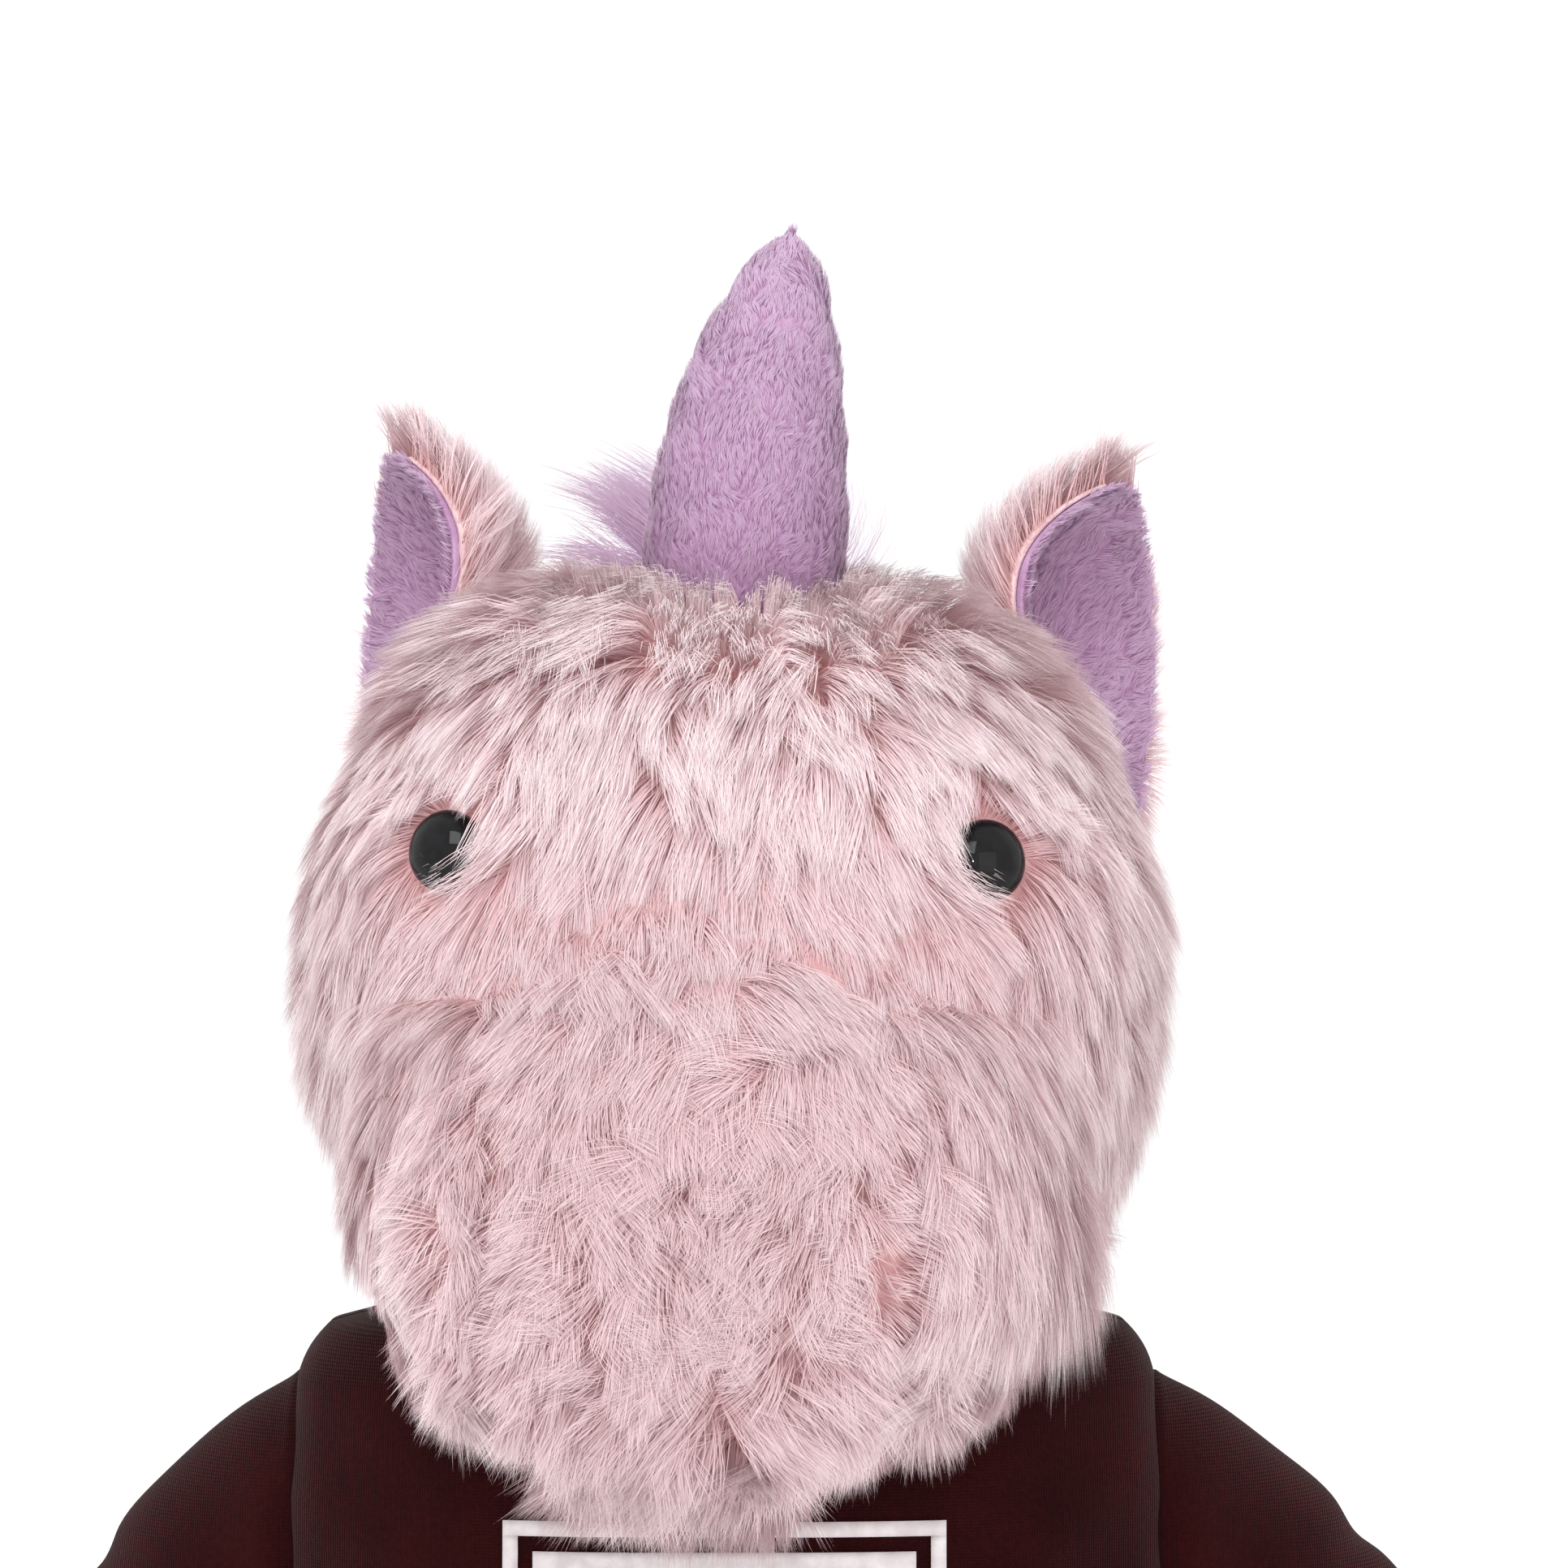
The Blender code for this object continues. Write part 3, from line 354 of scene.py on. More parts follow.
def paths_from(at, normals, comb, length, turn, lift, points):
    """Curved paths that start along the comb direction, lifted from the skin, and droop towards it."""
    flow = unit(comb["flow"] - normals * dot(comb["flow"], normals))
    flow = flow * np.cos(turn)[:, None] + np.cross(normals, flow) * np.sin(turn)[:, None]
    lift = lift[:, None]
    start = flow * np.cos(lift) + normals * np.sin(lift)
    droop = flow * 0.18 - normals * (0.38 * np.sin(lift)) - UP * comb["hang"][:, None]
    s = np.linspace(0, 1, points)[None, :, None]
    return at[:, None] + length[:, None, None] * (start[:, None] * s + droop[:, None] * s * s)


def fur(name, body, skin, style, look, density, width, tuft_mm2=55.0, wisp_mm2=5.0, points=5,
        turns=(0.26, 0.15, 0.11), pulls=(0.30, 0.48), keep=None, spread=0.12, turned=False, evenness=0.80):
    """Long pile: strands pulled into wisps, and wisps into tufts. style gives the comb at each root."""
    verts, tris, _ = skin
    a, b, c = (verts[tris[:, i]] for i in range(3))
    area = np.linalg.norm(np.cross(b - a, c - a), axis=1).sum() / 2 * 1e6
    s = np.linspace(0, 1, points)[None, :, None]
    levels = []
    for level, mm2 in enumerate((tuft_mm2, wisp_mm2, 1 / density)):
        at, normals = sample(skin, max(8, int(area / mm2)))
        comb = style(at, normals)
        chance = comb.get("amount")
        if chance is not None:
            kept = RNG.random(len(at)) < chance
            at, normals = at[kept], normals[kept]
            comb = {k: v[kept] for k, v in comb.items()}
        turn = RNG.normal(0, turns[level], len(at)) * comb.get("mess", np.ones(len(at)))
        lift = comb["lift"] + RNG.normal(0, LIFT_SPREADS[level], len(at))
        stretch = np.clip(RNG.normal(1.0, spread, len(at)), SHORTEST_SHARE, LONGEST_SHARE)
        length = comb["length"] * stretch
        own_lift = lift - comb["lift"]
        if levels:
            above = levels[-1]
            near = nearest(at, above["at"])
            turn = turn + above["turn"][near]
            own_lift = own_lift + above["own_lift"][near]
            lift = comb["lift"] + own_lift
        own = paths_from(at, normals, comb, length, turn, np.clip(lift, 0.03, 1.5), points)
        if levels:
            target = above["paths"][near] + (at - above["at"][near])[:, None] * (1 - 0.9 * s)
            pull = pulls[level - 1] * s ** 0.8
            own = own * (1 - pull) + target * pull
        levels.append({"at": at, "turn": turn, "own_lift": own_lift, "paths": own})
    paths, tint = levels[-1]["paths"], comb["tint"]
    if keep is not None:
        kept = keep(at, paths)
        paths, tint, normals = paths[kept], tint[kept], normals[kept]
    tint = np.clip(tint + RNG.normal(0, 0.10, len(tint)), 0.01, 0.99)
    widths = width * RNG.uniform(0.75, 1.25, len(paths))
    if turned:
        paths = head_turn(paths)
    return ribbons(name, body, paths, normals, widths, tint, look, evenness)


def full(count, value):
    return np.full(count, float(value))


# ---- materials ----

def principled(name, colour, roughness, **values):
    look = bpy.data.materials.new(name)
    look.use_nodes = True
    shader = look.node_tree.nodes["Principled BSDF"]
    shader.inputs["Base Color"].default_value = (*colour, 1.0)
    shader.inputs["Roughness"].default_value = roughness
    for socket, value in values.items():
        shader.inputs[socket.replace("_", " ")].default_value = value
    return look, shader


def node(look, kind, links=(), **settings):
    """A node with settings; links pair an input's name or index with a socket that feeds it."""
    made = look.node_tree.nodes.new(kind)
    for key, value in settings.items():
        if hasattr(made, key):
            setattr(made, key, value)
        else:
            made.inputs[key.replace("_", " ")].default_value = value
    for name, socket in links:
        look.node_tree.links.new(socket, made.inputs[name])
    return made


def noise_of(look, where, scale, detail):
    return node(look, "ShaderNodeTexNoise", [("Vector", where.outputs["Object"])], Scale=scale, Detail=detail)


def added(look, first, second):
    return node(look, "ShaderNodeMath", [(0, first), (1, second)], operation="ADD")


def ramp(look, factor, stops):
    made = node(look, "ShaderNodeValToRGB", [("Fac", factor)])
    elements = made.color_ramp.elements
    while len(elements) < len(stops):
        elements.new(0.5)
    for element, (place, colour) in zip(elements, stops):
        element.position = place
        element.color = (*colour, 1.0)
    return made.outputs["Color"]


def srgb(r, g, b):
    """Linear colour of an 8-bit sRGB one."""
    return tuple((c / 255 / 12.92 if c <= 10 else ((c / 255 + 0.055) / 1.055) ** 2.4) for c in (r, g, b))


GLOW = 0.09         # stands for the light that fibres pass on to each other deep in the pile


def strand_look(name, stops, deep, roughness=0.62, sheen=0.25):
    """Pile: colour runs from root to tip, and a strand's tint deepens it; that tint is partly the strand's
    own random tone and partly painted light and shade from its comb.
    """
    look, shader = principled(name, stops[-1][1], roughness, Sheen_Weight=sheen, Sheen_Roughness=0.45)
    shader.inputs["Emission Color"].default_value = (*stops[1][1], 1.0)
    shader.inputs["Emission Strength"].default_value = GLOW
    shader.inputs["Specular IOR Level"].default_value = 0.25
    where = node(look, "ShaderNodeUVMap", uv_map="OFBake")
    split = node(look, "ShaderNodeSeparateXYZ", [(0, where.outputs[0])])
    along = ramp(look, split.outputs["Y"], stops)
    strand = ramp(look, split.outputs["X"], ((0.0, deep), (1.0, (1.0, 1.0, 1.0))))
    mix = node(look, "ShaderNodeMix", data_type="RGBA", blend_type="MULTIPLY")
    mix.inputs[0].default_value = 1.0
    look.node_tree.links.new(along, mix.inputs[6])
    look.node_tree.links.new(strand, mix.inputs[7])
    look.node_tree.links.new(mix.outputs[2], shader.inputs["Base Color"])
    return look


def cloth_look(name, dark, pale, scale, depth, roughness=0.9, sheen=0.0, stretch=(1, 1, 1)):
    """Cloth of two tones: a soft mottle, with a fine bump that may run along ribs or wales."""
    look, shader = principled(name, pale, roughness, Sheen_Weight=sheen, Sheen_Roughness=0.5)
    shader.inputs["Specular IOR Level"].default_value = 0.2
    where = node(look, "ShaderNodeTexCoord")
    noise = noise_of(look, where, scale, 6.0)
    tone = ramp(look, noise.outputs["Fac"], ((0.35, dark), (0.68, pale)))
    look.node_tree.links.new(tone, shader.inputs["Base Color"])
    stretched = node(look, "ShaderNodeMapping", [("Vector", where.outputs["Object"])])
    stretched.inputs["Scale"].default_value = stretch
    grain = node(look, "ShaderNodeTexNoise", [("Vector", stretched.outputs[0])], Scale=scale * 6, Detail=3.0)
    relief = node(look, "ShaderNodeBump", [("Height", grain.outputs["Fac"])], Strength=0.6, Distance=depth)
    look.node_tree.links.new(relief.outputs[0], shader.inputs["Normal"])
    return look


def knit_look(name, dark, pale, wale, course, depth, roughness=0.88):
    """Fine jersey: rows of small loops with a heathered tone."""
    look, shader = principled(name, pale, roughness, Sheen_Weight=0.05, Sheen_Roughness=0.4)
    shader.inputs["Specular IOR Level"].default_value = 0.06
    where = node(look, "ShaderNodeTexCoord")
    warp = noise_of(look, where, 60.0, 4.0)
    fuzz = noise_of(look, where, 900.0, 3.0)
    waves = []
    for direction, scale in (("Z", course), ("X", wale)):
        waves.append(node(look, "ShaderNodeTexWave", [("Vector", where.outputs["Object"])],
                          bands_direction=direction, Scale=scale, Distortion=1.2, Detail=2.0))
    mixed = added(look, waves[0].outputs["Fac"], waves[1].outputs["Fac"])
    rough = added(look, mixed.outputs[0], fuzz.outputs["Fac"])
    relief = node(look, "ShaderNodeBump", [("Height", rough.outputs[0])], Strength=0.7, Distance=depth)
    look.node_tree.links.new(relief.outputs[0], shader.inputs["Normal"])
    tone = added(look, warp.outputs["Fac"], fuzz.outputs["Fac"])
    half = node(look, "ShaderNodeMath", [(0, tone.outputs[0])], operation="MULTIPLY")
    half.inputs[1].default_value = 0.5
    colour = ramp(look, half.outputs[0], ((0.36, dark), (0.64, pale)))
    look.node_tree.links.new(colour, shader.inputs["Base Color"])
    return look


PINK_FUR = strand_look("pink_fur_pile", ((0.0, srgb(208, 158, 160)), (0.35, srgb(216, 186, 189)),
                                         (0.70, srgb(224, 206, 209)), (1.0, srgb(248, 241, 243))),
                       (0.80, 0.68, 0.69))
# the lavender pile's deep tone also gives the painted shade in the ears' cups and at the horn's foot
LAVENDER_PILE = strand_look("lavender_pile", ((0.0, srgb(166, 122, 158)), (0.5, srgb(190, 160, 188)),
                                              (1.0, srgb(204, 182, 204))), (0.62, 0.44, 0.56), sheen=0.3)
LAVENDER_LONG = strand_look("lavender_long_pile", ((0.0, srgb(214, 180, 212)), (0.5, srgb(228, 204, 228)),
                                                   (1.0, srgb(238, 226, 238))), (0.90, 0.84, 0.90))
PINK_BACKING = cloth_look("pink_fur_backing", srgb(214, 160, 161), srgb(224, 180, 181), 180, 0.0006)
EAR_BACKING = cloth_look("pink_ear_backing", srgb(222, 186, 188), srgb(230, 202, 204), 180, 0.0006)
LAVENDER_BACKING = cloth_look("lavender_backing", srgb(170, 128, 166), srgb(194, 160, 192), 220, 0.0004)
JERSEY = knit_look("maroon_jersey", srgb(36, 7, 8), srgb(50, 11, 12), 700, 520, 0.00022)
RIB = knit_look("maroon_rib", srgb(33, 7, 8), srgb(47, 11, 12), 160, 520, 0.0006)
PRINT = cloth_look("print_film", srgb(214, 206, 208), srgb(236, 231, 232), 300, 0.00012, roughness=0.55)
FILLING = cloth_look("fibre_filling", srgb(222, 222, 218), srgb(244, 244, 240), 160, 0.0012)
BEAN_CLOTH = cloth_look("bean_cloth", srgb(190, 184, 170), srgb(214, 208, 196), 500, 0.0003)
LABEL = cloth_look("label_cloth", srgb(226, 226, 222), srgb(245, 245, 241), 700, 0.0001, stretch=(1, 1, 6))
WASHER = cloth_look("washer_plastic", srgb(205, 205, 202), srgb(232, 232, 229), 250, 0.00005, roughness=0.4)


def eye_look():
    look, shader = principled("eye_plastic", (0.004, 0.004, 0.005), 0.06)
    where = node(look, "ShaderNodeTexCoord")
    noise = noise_of(look, where, 400.0, 3.0)
    tone = ramp(look, noise.outputs["Fac"], ((0.3, (0.003, 0.003, 0.004)), (0.7, (0.008, 0.008, 0.009))))
    look.node_tree.links.new(tone, shader.inputs["Base Color"])
    shader.inputs["Specular IOR Level"].default_value = 0.20
    return look


EYE = eye_look()


# ---- head ----

def icosphere(subdivisions):
    bm = bmesh.new()
    bmesh.ops.create_icosphere(bm, subdivisions=subdivisions, radius=1.0)
    verts = np.array([v.co[:] for v in bm.verts])
    faces = [[v.index for v in f.verts] for f in bm.faces]
    bm.free()
    return unit(verts), faces


def on_front(x, z):
    """A point of the head's front at a place seen from ahead."""
    low, high = -0.045, -0.20
    for _ in range(40):
        y = (low + high) / 2
        if head_distance(np.array([[x, y, z]]))[0] < 0:
            low = y
        else:
            high = y
    return np.array((x, low, z))


EYES = {side: on_front(side * EYE_X, EYE_Z) for side, _ in SIDES}
WHORL = on_front(0.003, 0.182)
CROWN = np.array((0.0, -0.010, 0.300))


def head_style(at, normals):
    """Comb of the head: down from the crown, forward over the bridge, and round a whorl on the muzzle."""
    count = len(at)
    x, y, z = at.T
    _, mix = head_parts(at)

    # places on the head, each from 0 to 1
    muzzle = 1 - mix
    front = step(-y, 0.098, 0.118) * muzzle
    front = front * step(-z, -0.244, -0.186) * step(-np.abs(x + 0.002), -0.048, -0.036)
    side = step(np.abs(x), 0.038, 0.066)
    right, left = step(x, 0.035, 0.062), step(-x, 0.035, 0.062)
    peak = step(z, 0.276, 0.292) * step(-y, 0.018, 0.040)
    beside = muzzle * step(np.abs(x), 0.034, 0.052) * (1 - front) * step(-z, -0.242, -0.192)

    # comb
    flow = (at - CROWN) * np.array((9.0, 9.0, 0.0)) - UP * 0.9
    flow = flow * (1 - peak)[:, None] + np.stack((x * 12, full(count, -0.8), 0 * x), -1) * peak[:, None]
    bridge = bump(z, 0.243, 0.020) * step(-y, 0.055, 0.080)
    flow = flow + np.stack((x * 6, full(count, -1.4), full(count, -0.4)), -1) * bridge[:, None]
    apart = np.stack(((x - WHORL[0]) * 16, full(count, -0.1), (z - WHORL[2]) * 8 - 0.7), -1)
    flow = unit(flow) * (1 - front)[:, None] + apart * front[:, None]
    cheek = side * step(-z, -0.235, -0.200)
    flow = flow + np.stack((np.sign(x) * 0.45, full(count, -0.25), full(count, -0.5)), -1) * cheek[:, None]

    # length of the pile
    length = 0.0165 - 0.0020 * front + 0.002 * side + 0.004 * step(-z, -0.180, -0.152) + 0.009 * peak
    length = length + right * (0.0030 * bump(z, 0.247, 0.012) + 0.0110 * bump(z, 0.190, 0.011))
    length = length - (right + left) * 0.0050 * bump(z, 0.270, 0.010) - left * 0.0022
    length = length - left * (0.0060 * bump(z, 0.176, 0.008) + 0.002 * bump(z, 0.206, 0.008))
    length = length - 0.004 * beside
    chin = step(-z, -0.164, -0.150) * step(-y, 0.050, 0.070)
    length = length * (1 - 0.50 * chin * step(np.abs(x + 0.003), 0.014, 0.024))

    # how steeply it stands, and how much its tufts are ruffled
    lift = 0.50 + 0.42 * side * mix + 0.62 * peak + 0.62 * front - 0.22 * beside
    lift = lift + 0.22 * bump(z, 0.270, 0.008) * step(-y, 0.03, 0.06) + 0.35 * right * bump(z, 0.190, 0.013)
    lift = lift - 0.15 * (right + left) * bump(z, 0.270, 0.010)
    lift = lift + 0.45 * step(-z, -0.188, -0.180) * step(y, -0.070, -0.045)
    lift = lift - 0.30 * bump(z, 0.230, 0.018) * step(-y, 0.050, 0.080)
    mess = 1.0 + 2.4 * front

    # tone of the strands: paler on the forehead as painted light, and darker over the bridge and in the
    # valley below it, above the muzzle, as painted shade
    tint = 0.60 + 0.40 * peak - 0.10 * bridge - 0.42 * front * bump(x, 0.0, 0.045) + 0.15 * side
    tint = tint + 0.32 * bump(z, 0.280, 0.014) * step(-y, 0.030, 0.055)
    tint = tint - 0.22 * bump(z, 0.212, 0.018) * step(-y, 0.05, 0.09)

    # clear of each eye, and parted along each seam of the muzzle
    amount = np.ones(count)
    for sign, _ in SIDES:
        gap = at - EYES[sign]
        far = np.linalg.norm(gap, axis=1)
        close = np.exp(-(far / 0.0120) ** 2)
        over = step(-sign * gap[:, 0] - 0.4 * gap[:, 2], -0.001, 0.004)
        flow = flow + unit(gap) * (2.6 * close * (1 - over))[:, None]
        flow = flow + np.array((sign * 1.6, -0.2, 0.5)) * (1.5 * close * over)[:, None]
        length = length * (1 - 0.52 * np.exp(-(far / 0.0115) ** 2))
        lift = lift - 0.22 * close * (1 - over)
        # painted shade: strands are darker close to each eye, in the hollow it sits in
        tint = tint - 0.20 * close
        amount = amount * (far > EYE_RADIUS + 0.0004)
        seam_x = sign * GUSSET_HALF
        low = step(-z, -0.232, -0.215) * step(-y, 0.070, 0.090)
        amount = amount * (1 - 0.85 * bump(x, seam_x, 0.0012) * low)
        length = length * (1 - 0.45 * bump(x, seam_x, 0.0045) * low)
        tint = tint - 0.25 * bump(x, seam_x, 0.003) * low
        parting = bump(x, seam_x, 0.004) * low * (x - seam_x) * 140
        flow = flow + np.stack((parting, 0 * x, 0 * x), -1)

    # none under the neck or inside the horn's foot
    amount = amount * (1 - step(-z, -0.180, -0.176) * (np.hypot(x, y) < 0.030))
    horn = np.hypot(x - HORN_PLACE[0], y - HORN_PLACE[1])
    rim = (z > 0.28) * bump(horn, HORN_RADIUS + 0.002, 0.006)
    amount = amount * ~((z > 0.28) & (horn < HORN_RADIUS - 0.004))
    length = length * (1 - 0.15 * rim)
    lift = lift + 0.30 * rim
    return {"flow": flow, "length": length, "lift": lift, "mess": mess, "tint": tint, "amount": amount,
            "hang": 0.10 + 0.10 * step(-z, -0.180, -0.150)}


def clear_of_eyes(at, paths):
    """Strands that would lie over the middle of an eye are left out, apart from a few at its inner foot."""
    kept = np.ones(len(at), bool)
    for side, _ in SIDES:
        centre = EYES[side]
        facing = head_normal(centre[None])[0]
        gap = paths - centre
        height = dot(gap, facing)[..., 0]
        across = np.linalg.norm(gap - facing * height[..., None], axis=-1)
        over = ((across < EYE_RADIUS * 0.98) & (height > -0.002)).any(1)
        deep = ((across < EYE_RADIUS * 0.45) & (height > -0.002)).any(1)
        inner = (side * (at[:, 0] - centre[0]) < 0.001) & (at[:, 2] < centre[2] + 0.004)
        inner &= ~deep | (RNG.random(len(at)) < (0.04 if side > 0 else 0.25))
        share = 0.55 if side > 0 else 0.95
        kept &= ~over | (inner & (RNG.random(len(at)) < share))
    return kept


def build_head():
    rays, faces = icosphere(6)
    verts = head_hit(HEAD_MIDDLE[None], rays)
    skin = (verts, triangles(faces), head_normal(verts))
    base = build("head_cover", head_turn(verts - skin[2] * 0.0004), faces, PINK_BACKING)
    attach(base, "head")
    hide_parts("head_gusset", "head_panel_left", "head_panel_right")
    fur("head_fur", "head", skin, head_style, PINK_FUR, density=3.5, width=0.00021, points=4,
        keep=clear_of_eyes, turned=True)
    return base


def build_eye(side, word):
    centre = EYES[side]
    facing = head_normal(centre[None])[0]
    u = unit(np.cross(facing, UP))
    v = np.cross(facing, u)
    rows = []
    seats = ((0.0, -0.0024), (0.55, -0.0024), (0.97, -0.0014), (1.0, 0.0000), (0.995, 0.0006))
    dome = [(math.cos(a), 0.0006 + (EYE_HEIGHT - 0.0006) * math.sin(a))
            for a in np.linspace(0.12, math.pi / 2, 14)[:-1]]
    for size, height in seats[1:] + tuple(dome):
        angles = around(48)
        ring = (u[None] * np.cos(angles)[:, None] + v[None] * np.sin(angles)[:, None]) * (EYE_RADIUS * size)
        rows.append(centre + facing * height + ring)
    verts, faces = loft(rows, centre - facing * 0.0024, centre + facing * EYE_HEIGHT)
    eye = build("eye_dome_" + word, head_turn(verts), faces, EYE)
    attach(eye, "head")
    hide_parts("eye_" + word)


# ---- horn ----

def horn_ring(base, height, part, grow, segments):
    centre = base + np.array((HORN_LEAN * part * part - 0.0008, 0, height * part))
    radius = HORN_RADIUS * (1 - part * part) ** 0.54 + grow
    angles = around(segments)
    return centre + np.stack((np.cos(angles), np.sin(angles), 0 * angles), -1) * radius


def build_horn():
    foot = crown(*HORN_PLACE)
    base = foot + np.array((0, 0, HORN_LIFT - 0.0036))
    height = HORN_TIP_Z - 0.0016 - base[2]
    rows = [horn_ring(base, height, math.sin(math.pi / 2 * i / 30), -0.0018, 56) for i in range(30)]
    skirt = rows[0].copy()
    for point in skirt:
        point[2] = crown(point[0], point[1])[2] - 0.0008
    rows = [skirt] + rows
    tip = base + np.array((HORN_LEAN, 0, height))
    verts, faces = loft(rows, base, tip)
    wave = np.sin(verts[:, 2] * 420 + verts[:, 0] * 90) * np.cos(verts[:, 1] * 210 + 1.0) * 0.0004
    skin = skin_of(verts, faces, base + np.array((0, 0, height * 0.4)))
    verts = verts + skin[2] * wave[:, None]
    horn = build("horn_plush", head_turn(verts), faces, LAVENDER_BACKING)
    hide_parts("horn_cover")
    skin = (verts, skin[1], skin[2])

    def style(at, normals):
        count = len(at)
        # painted light and shade: the pile is darker at the horn's foot and paler towards its tip
        low = step(-(at[:, 2] - base[2]), -0.012, -0.002)
        tint = 0.45 + 0.42 * (at[:, 2] - base[2]) / height
        return {"flow": np.repeat(np.array([[0.12, 0.0, 1.0]]), count, 0), "length": full(count, 0.0026),
                "lift": full(count, 0.62), "tint": tint - 0.15 * low, "hang": full(count, 0.0),
                "amount": (normals[:, 2] > -0.4).astype(float)}

    rows = [horn_ring(base, height, math.sin(math.pi / 2 * i / 20), -0.0042, 40) for i in range(1, 19)]
    inside, faces = loft(rows, rows[0].mean(0), rows[-1].mean(0))
    stuffing = build("horn_stuffing", head_turn(inside), faces, FILLING)
    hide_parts("horn_filling")
    made = fur("horn_pile", None, skin, style, LAVENDER_PILE, density=7.5, width=0.00019,
               tuft_mm2=26.0, wisp_mm2=2.0, points=3, turns=PLUSH_TURNS, pulls=(0.25, 0.45), turned=True,
               evenness=PLUSH_EVENNESS)
    for obj in [horn, stuffing] + made:
        blend_at_horn(obj, head_turn(base))
    return horn


def blend_at_horn(obj, base):
    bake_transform(obj)


# ---- ears ----

def ear_grid(side, lift, rows=26, columns=25, trim=1.0):
    """Rows of a cupped leaf: pinched at the root and rounded at the tip, its foot following the head."""
    lean, reach = EAR_LEANS[side], EAR_LENGTHS[side]
    up = np.array((math.sin(lean), 0, math.cos(lean)))
    root = crown(EAR_FEET[side], EAR_Y) + np.array((0, 0, EAR_LIFT))
    turn = EAR_OPENINGS[side]
    outward = np.array((side * math.cos(turn), -math.sin(turn), 0))
    opening = unit(outward - up * (outward @ up))
    across = np.cross(up, opening)
    grid = []
    for i in range(rows):
        part = i / (rows - 1)
        half = EAR_HALF_WIDTH * math.sin(math.pi * (0.16 + 0.80 * part)) ** 0.75
        cup = EAR_CUP * (1.12 - 0.35 * part)
        centre = root + up * (reach * part) + opening * (half * 0.35)
        radius = half / math.sin(cup) - lift
        row = []
        for j in range(columns):
            angle = cup * (2 * j / (columns - 1) - 1) * trim
            point = centre + across * (radius * math.sin(angle)) - opening * (radius * math.cos(angle))
            foot = point - up * (reach * part)
            point[2] += (crown(foot[0], foot[1])[2] + EAR_LIFT - foot[2]) * (1 - part) ** 2
            row.append(point)
        grid.append(row)
    return np.array(grid), root, up, opening


def thick_patch(outer, inner):
    """A closed leaf of cloth between two grids of the same size."""
    rows, columns = outer.shape[:2]
    verts = np.concatenate((outer.reshape(-1, 3), inner.reshape(-1, 3)))
    _, faces = loft(outer, wrap=False)
    size = rows * columns
    faces = list(faces) + [tuple(size + i for i in reversed(f)) for f in faces]
    rim = [j for j in range(columns)] + [i * columns + columns - 1 for i in range(1, rows)]
    rim += [size - 1 - j for j in range(1, columns)] + [i * columns for i in range(rows - 2, 0, -1)]
    for k, a in enumerate(rim):
        b = rim[(k + 1) % len(rim)]
        faces.append((b, a, size + a, size + b))
    tris = triangles(faces)
    volume = (verts[tris[:, 0]] * np.cross(verts[tris[:, 1]], verts[tris[:, 2]])).sum()
    if volume < 0:
        faces = [tuple(reversed(face)) for face in faces]
    return verts, faces


def build_ear(side, word):
    outer, root, up, opening = ear_grid(side, 0.0, trim=0.96)
    inner = ear_grid(side, 0.0012, trim=0.96)[0]
    verts, faces = thick_patch(outer, inner)
    back = build("ear_back_cloth_" + word, head_turn(verts), faces, EAR_BACKING)
    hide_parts("ear_back_" + word)
    back_skin = skin_of(verts, faces)
    lining_outer = ear_grid(side, 0.0015)[0]
    lining_inner = ear_grid(side, 0.0028)[0]
    verts, faces = thick_patch(lining_outer, lining_inner)
    lining = build("ear_lining_cloth_" + word, head_turn(verts), faces, LAVENDER_BACKING)
    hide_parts("ear_lining_" + word)

    lining_skin = skin_of(verts, faces)
    mid = root + up * EAR_LENGTHS[side] * 0.5 + opening * 0.012

    def away(at):
        gap = at - root - opening * 0.010
        return unit(gap - up * (gap @ up)[:, None])

    def back_style(at, normals):
        count = len(at)
        inward = step(-side * (at - mid)[:, 0], -0.004, 0.010)
        flow = up[None] * (0.8 - 0.3 * inward)[:, None] + (at - mid) * 26 + opening[None] * 0.15
        outer_side = (normals * away(at)).sum(-1) > -0.5
        return {"flow": flow, "length": 0.0070 + 0.0090 * inward, "lift": 0.45 + 0.25 * inward,
                "tint": full(count, 0.80), "hang": full(count, 0.03), "mess": full(count, 1.0),
                "amount": outer_side.astype(float)}

    made = fur("ear_fur_" + word, None, back_skin, back_style, PINK_FUR, density=3.6,
               width=0.00021, tuft_mm2=30.0, wisp_mm2=4.0, points=4, turned=True)

    def lining_style(at, normals):
        count = len(at)
        # painted shade: the pile is darkest in the crease deep in the cup, and paler towards the rim and
        # higher up the ear
        tint = 0.20 + 0.55 * step((at - root) @ opening, -0.014, 0.001) + 4.0 * ((at - root) @ up)
        inner_side = (normals * away(at)).sum(-1) < 0.5
        return {"flow": np.repeat((up * 0.5 + opening * 0.6)[None], count, 0), "length": full(count, 0.0030),
                "lift": full(count, 0.60), "tint": tint, "hang": full(count, 0.0),
                "amount": inner_side.astype(float)}

    made += fur("ear_lining_pile_" + word, None, lining_skin, lining_style, LAVENDER_PILE,
                density=7.5, width=0.00018, tuft_mm2=18.0, wisp_mm2=2.0, points=3, turns=(0.3, 0.2, 0.15),
                pulls=(0.2, 0.4), turned=True, evenness=PLUSH_EVENNESS)
    for obj in [back, lining] + made:
        foot = head_turn(root)
        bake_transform(obj)


# ---- mane ----

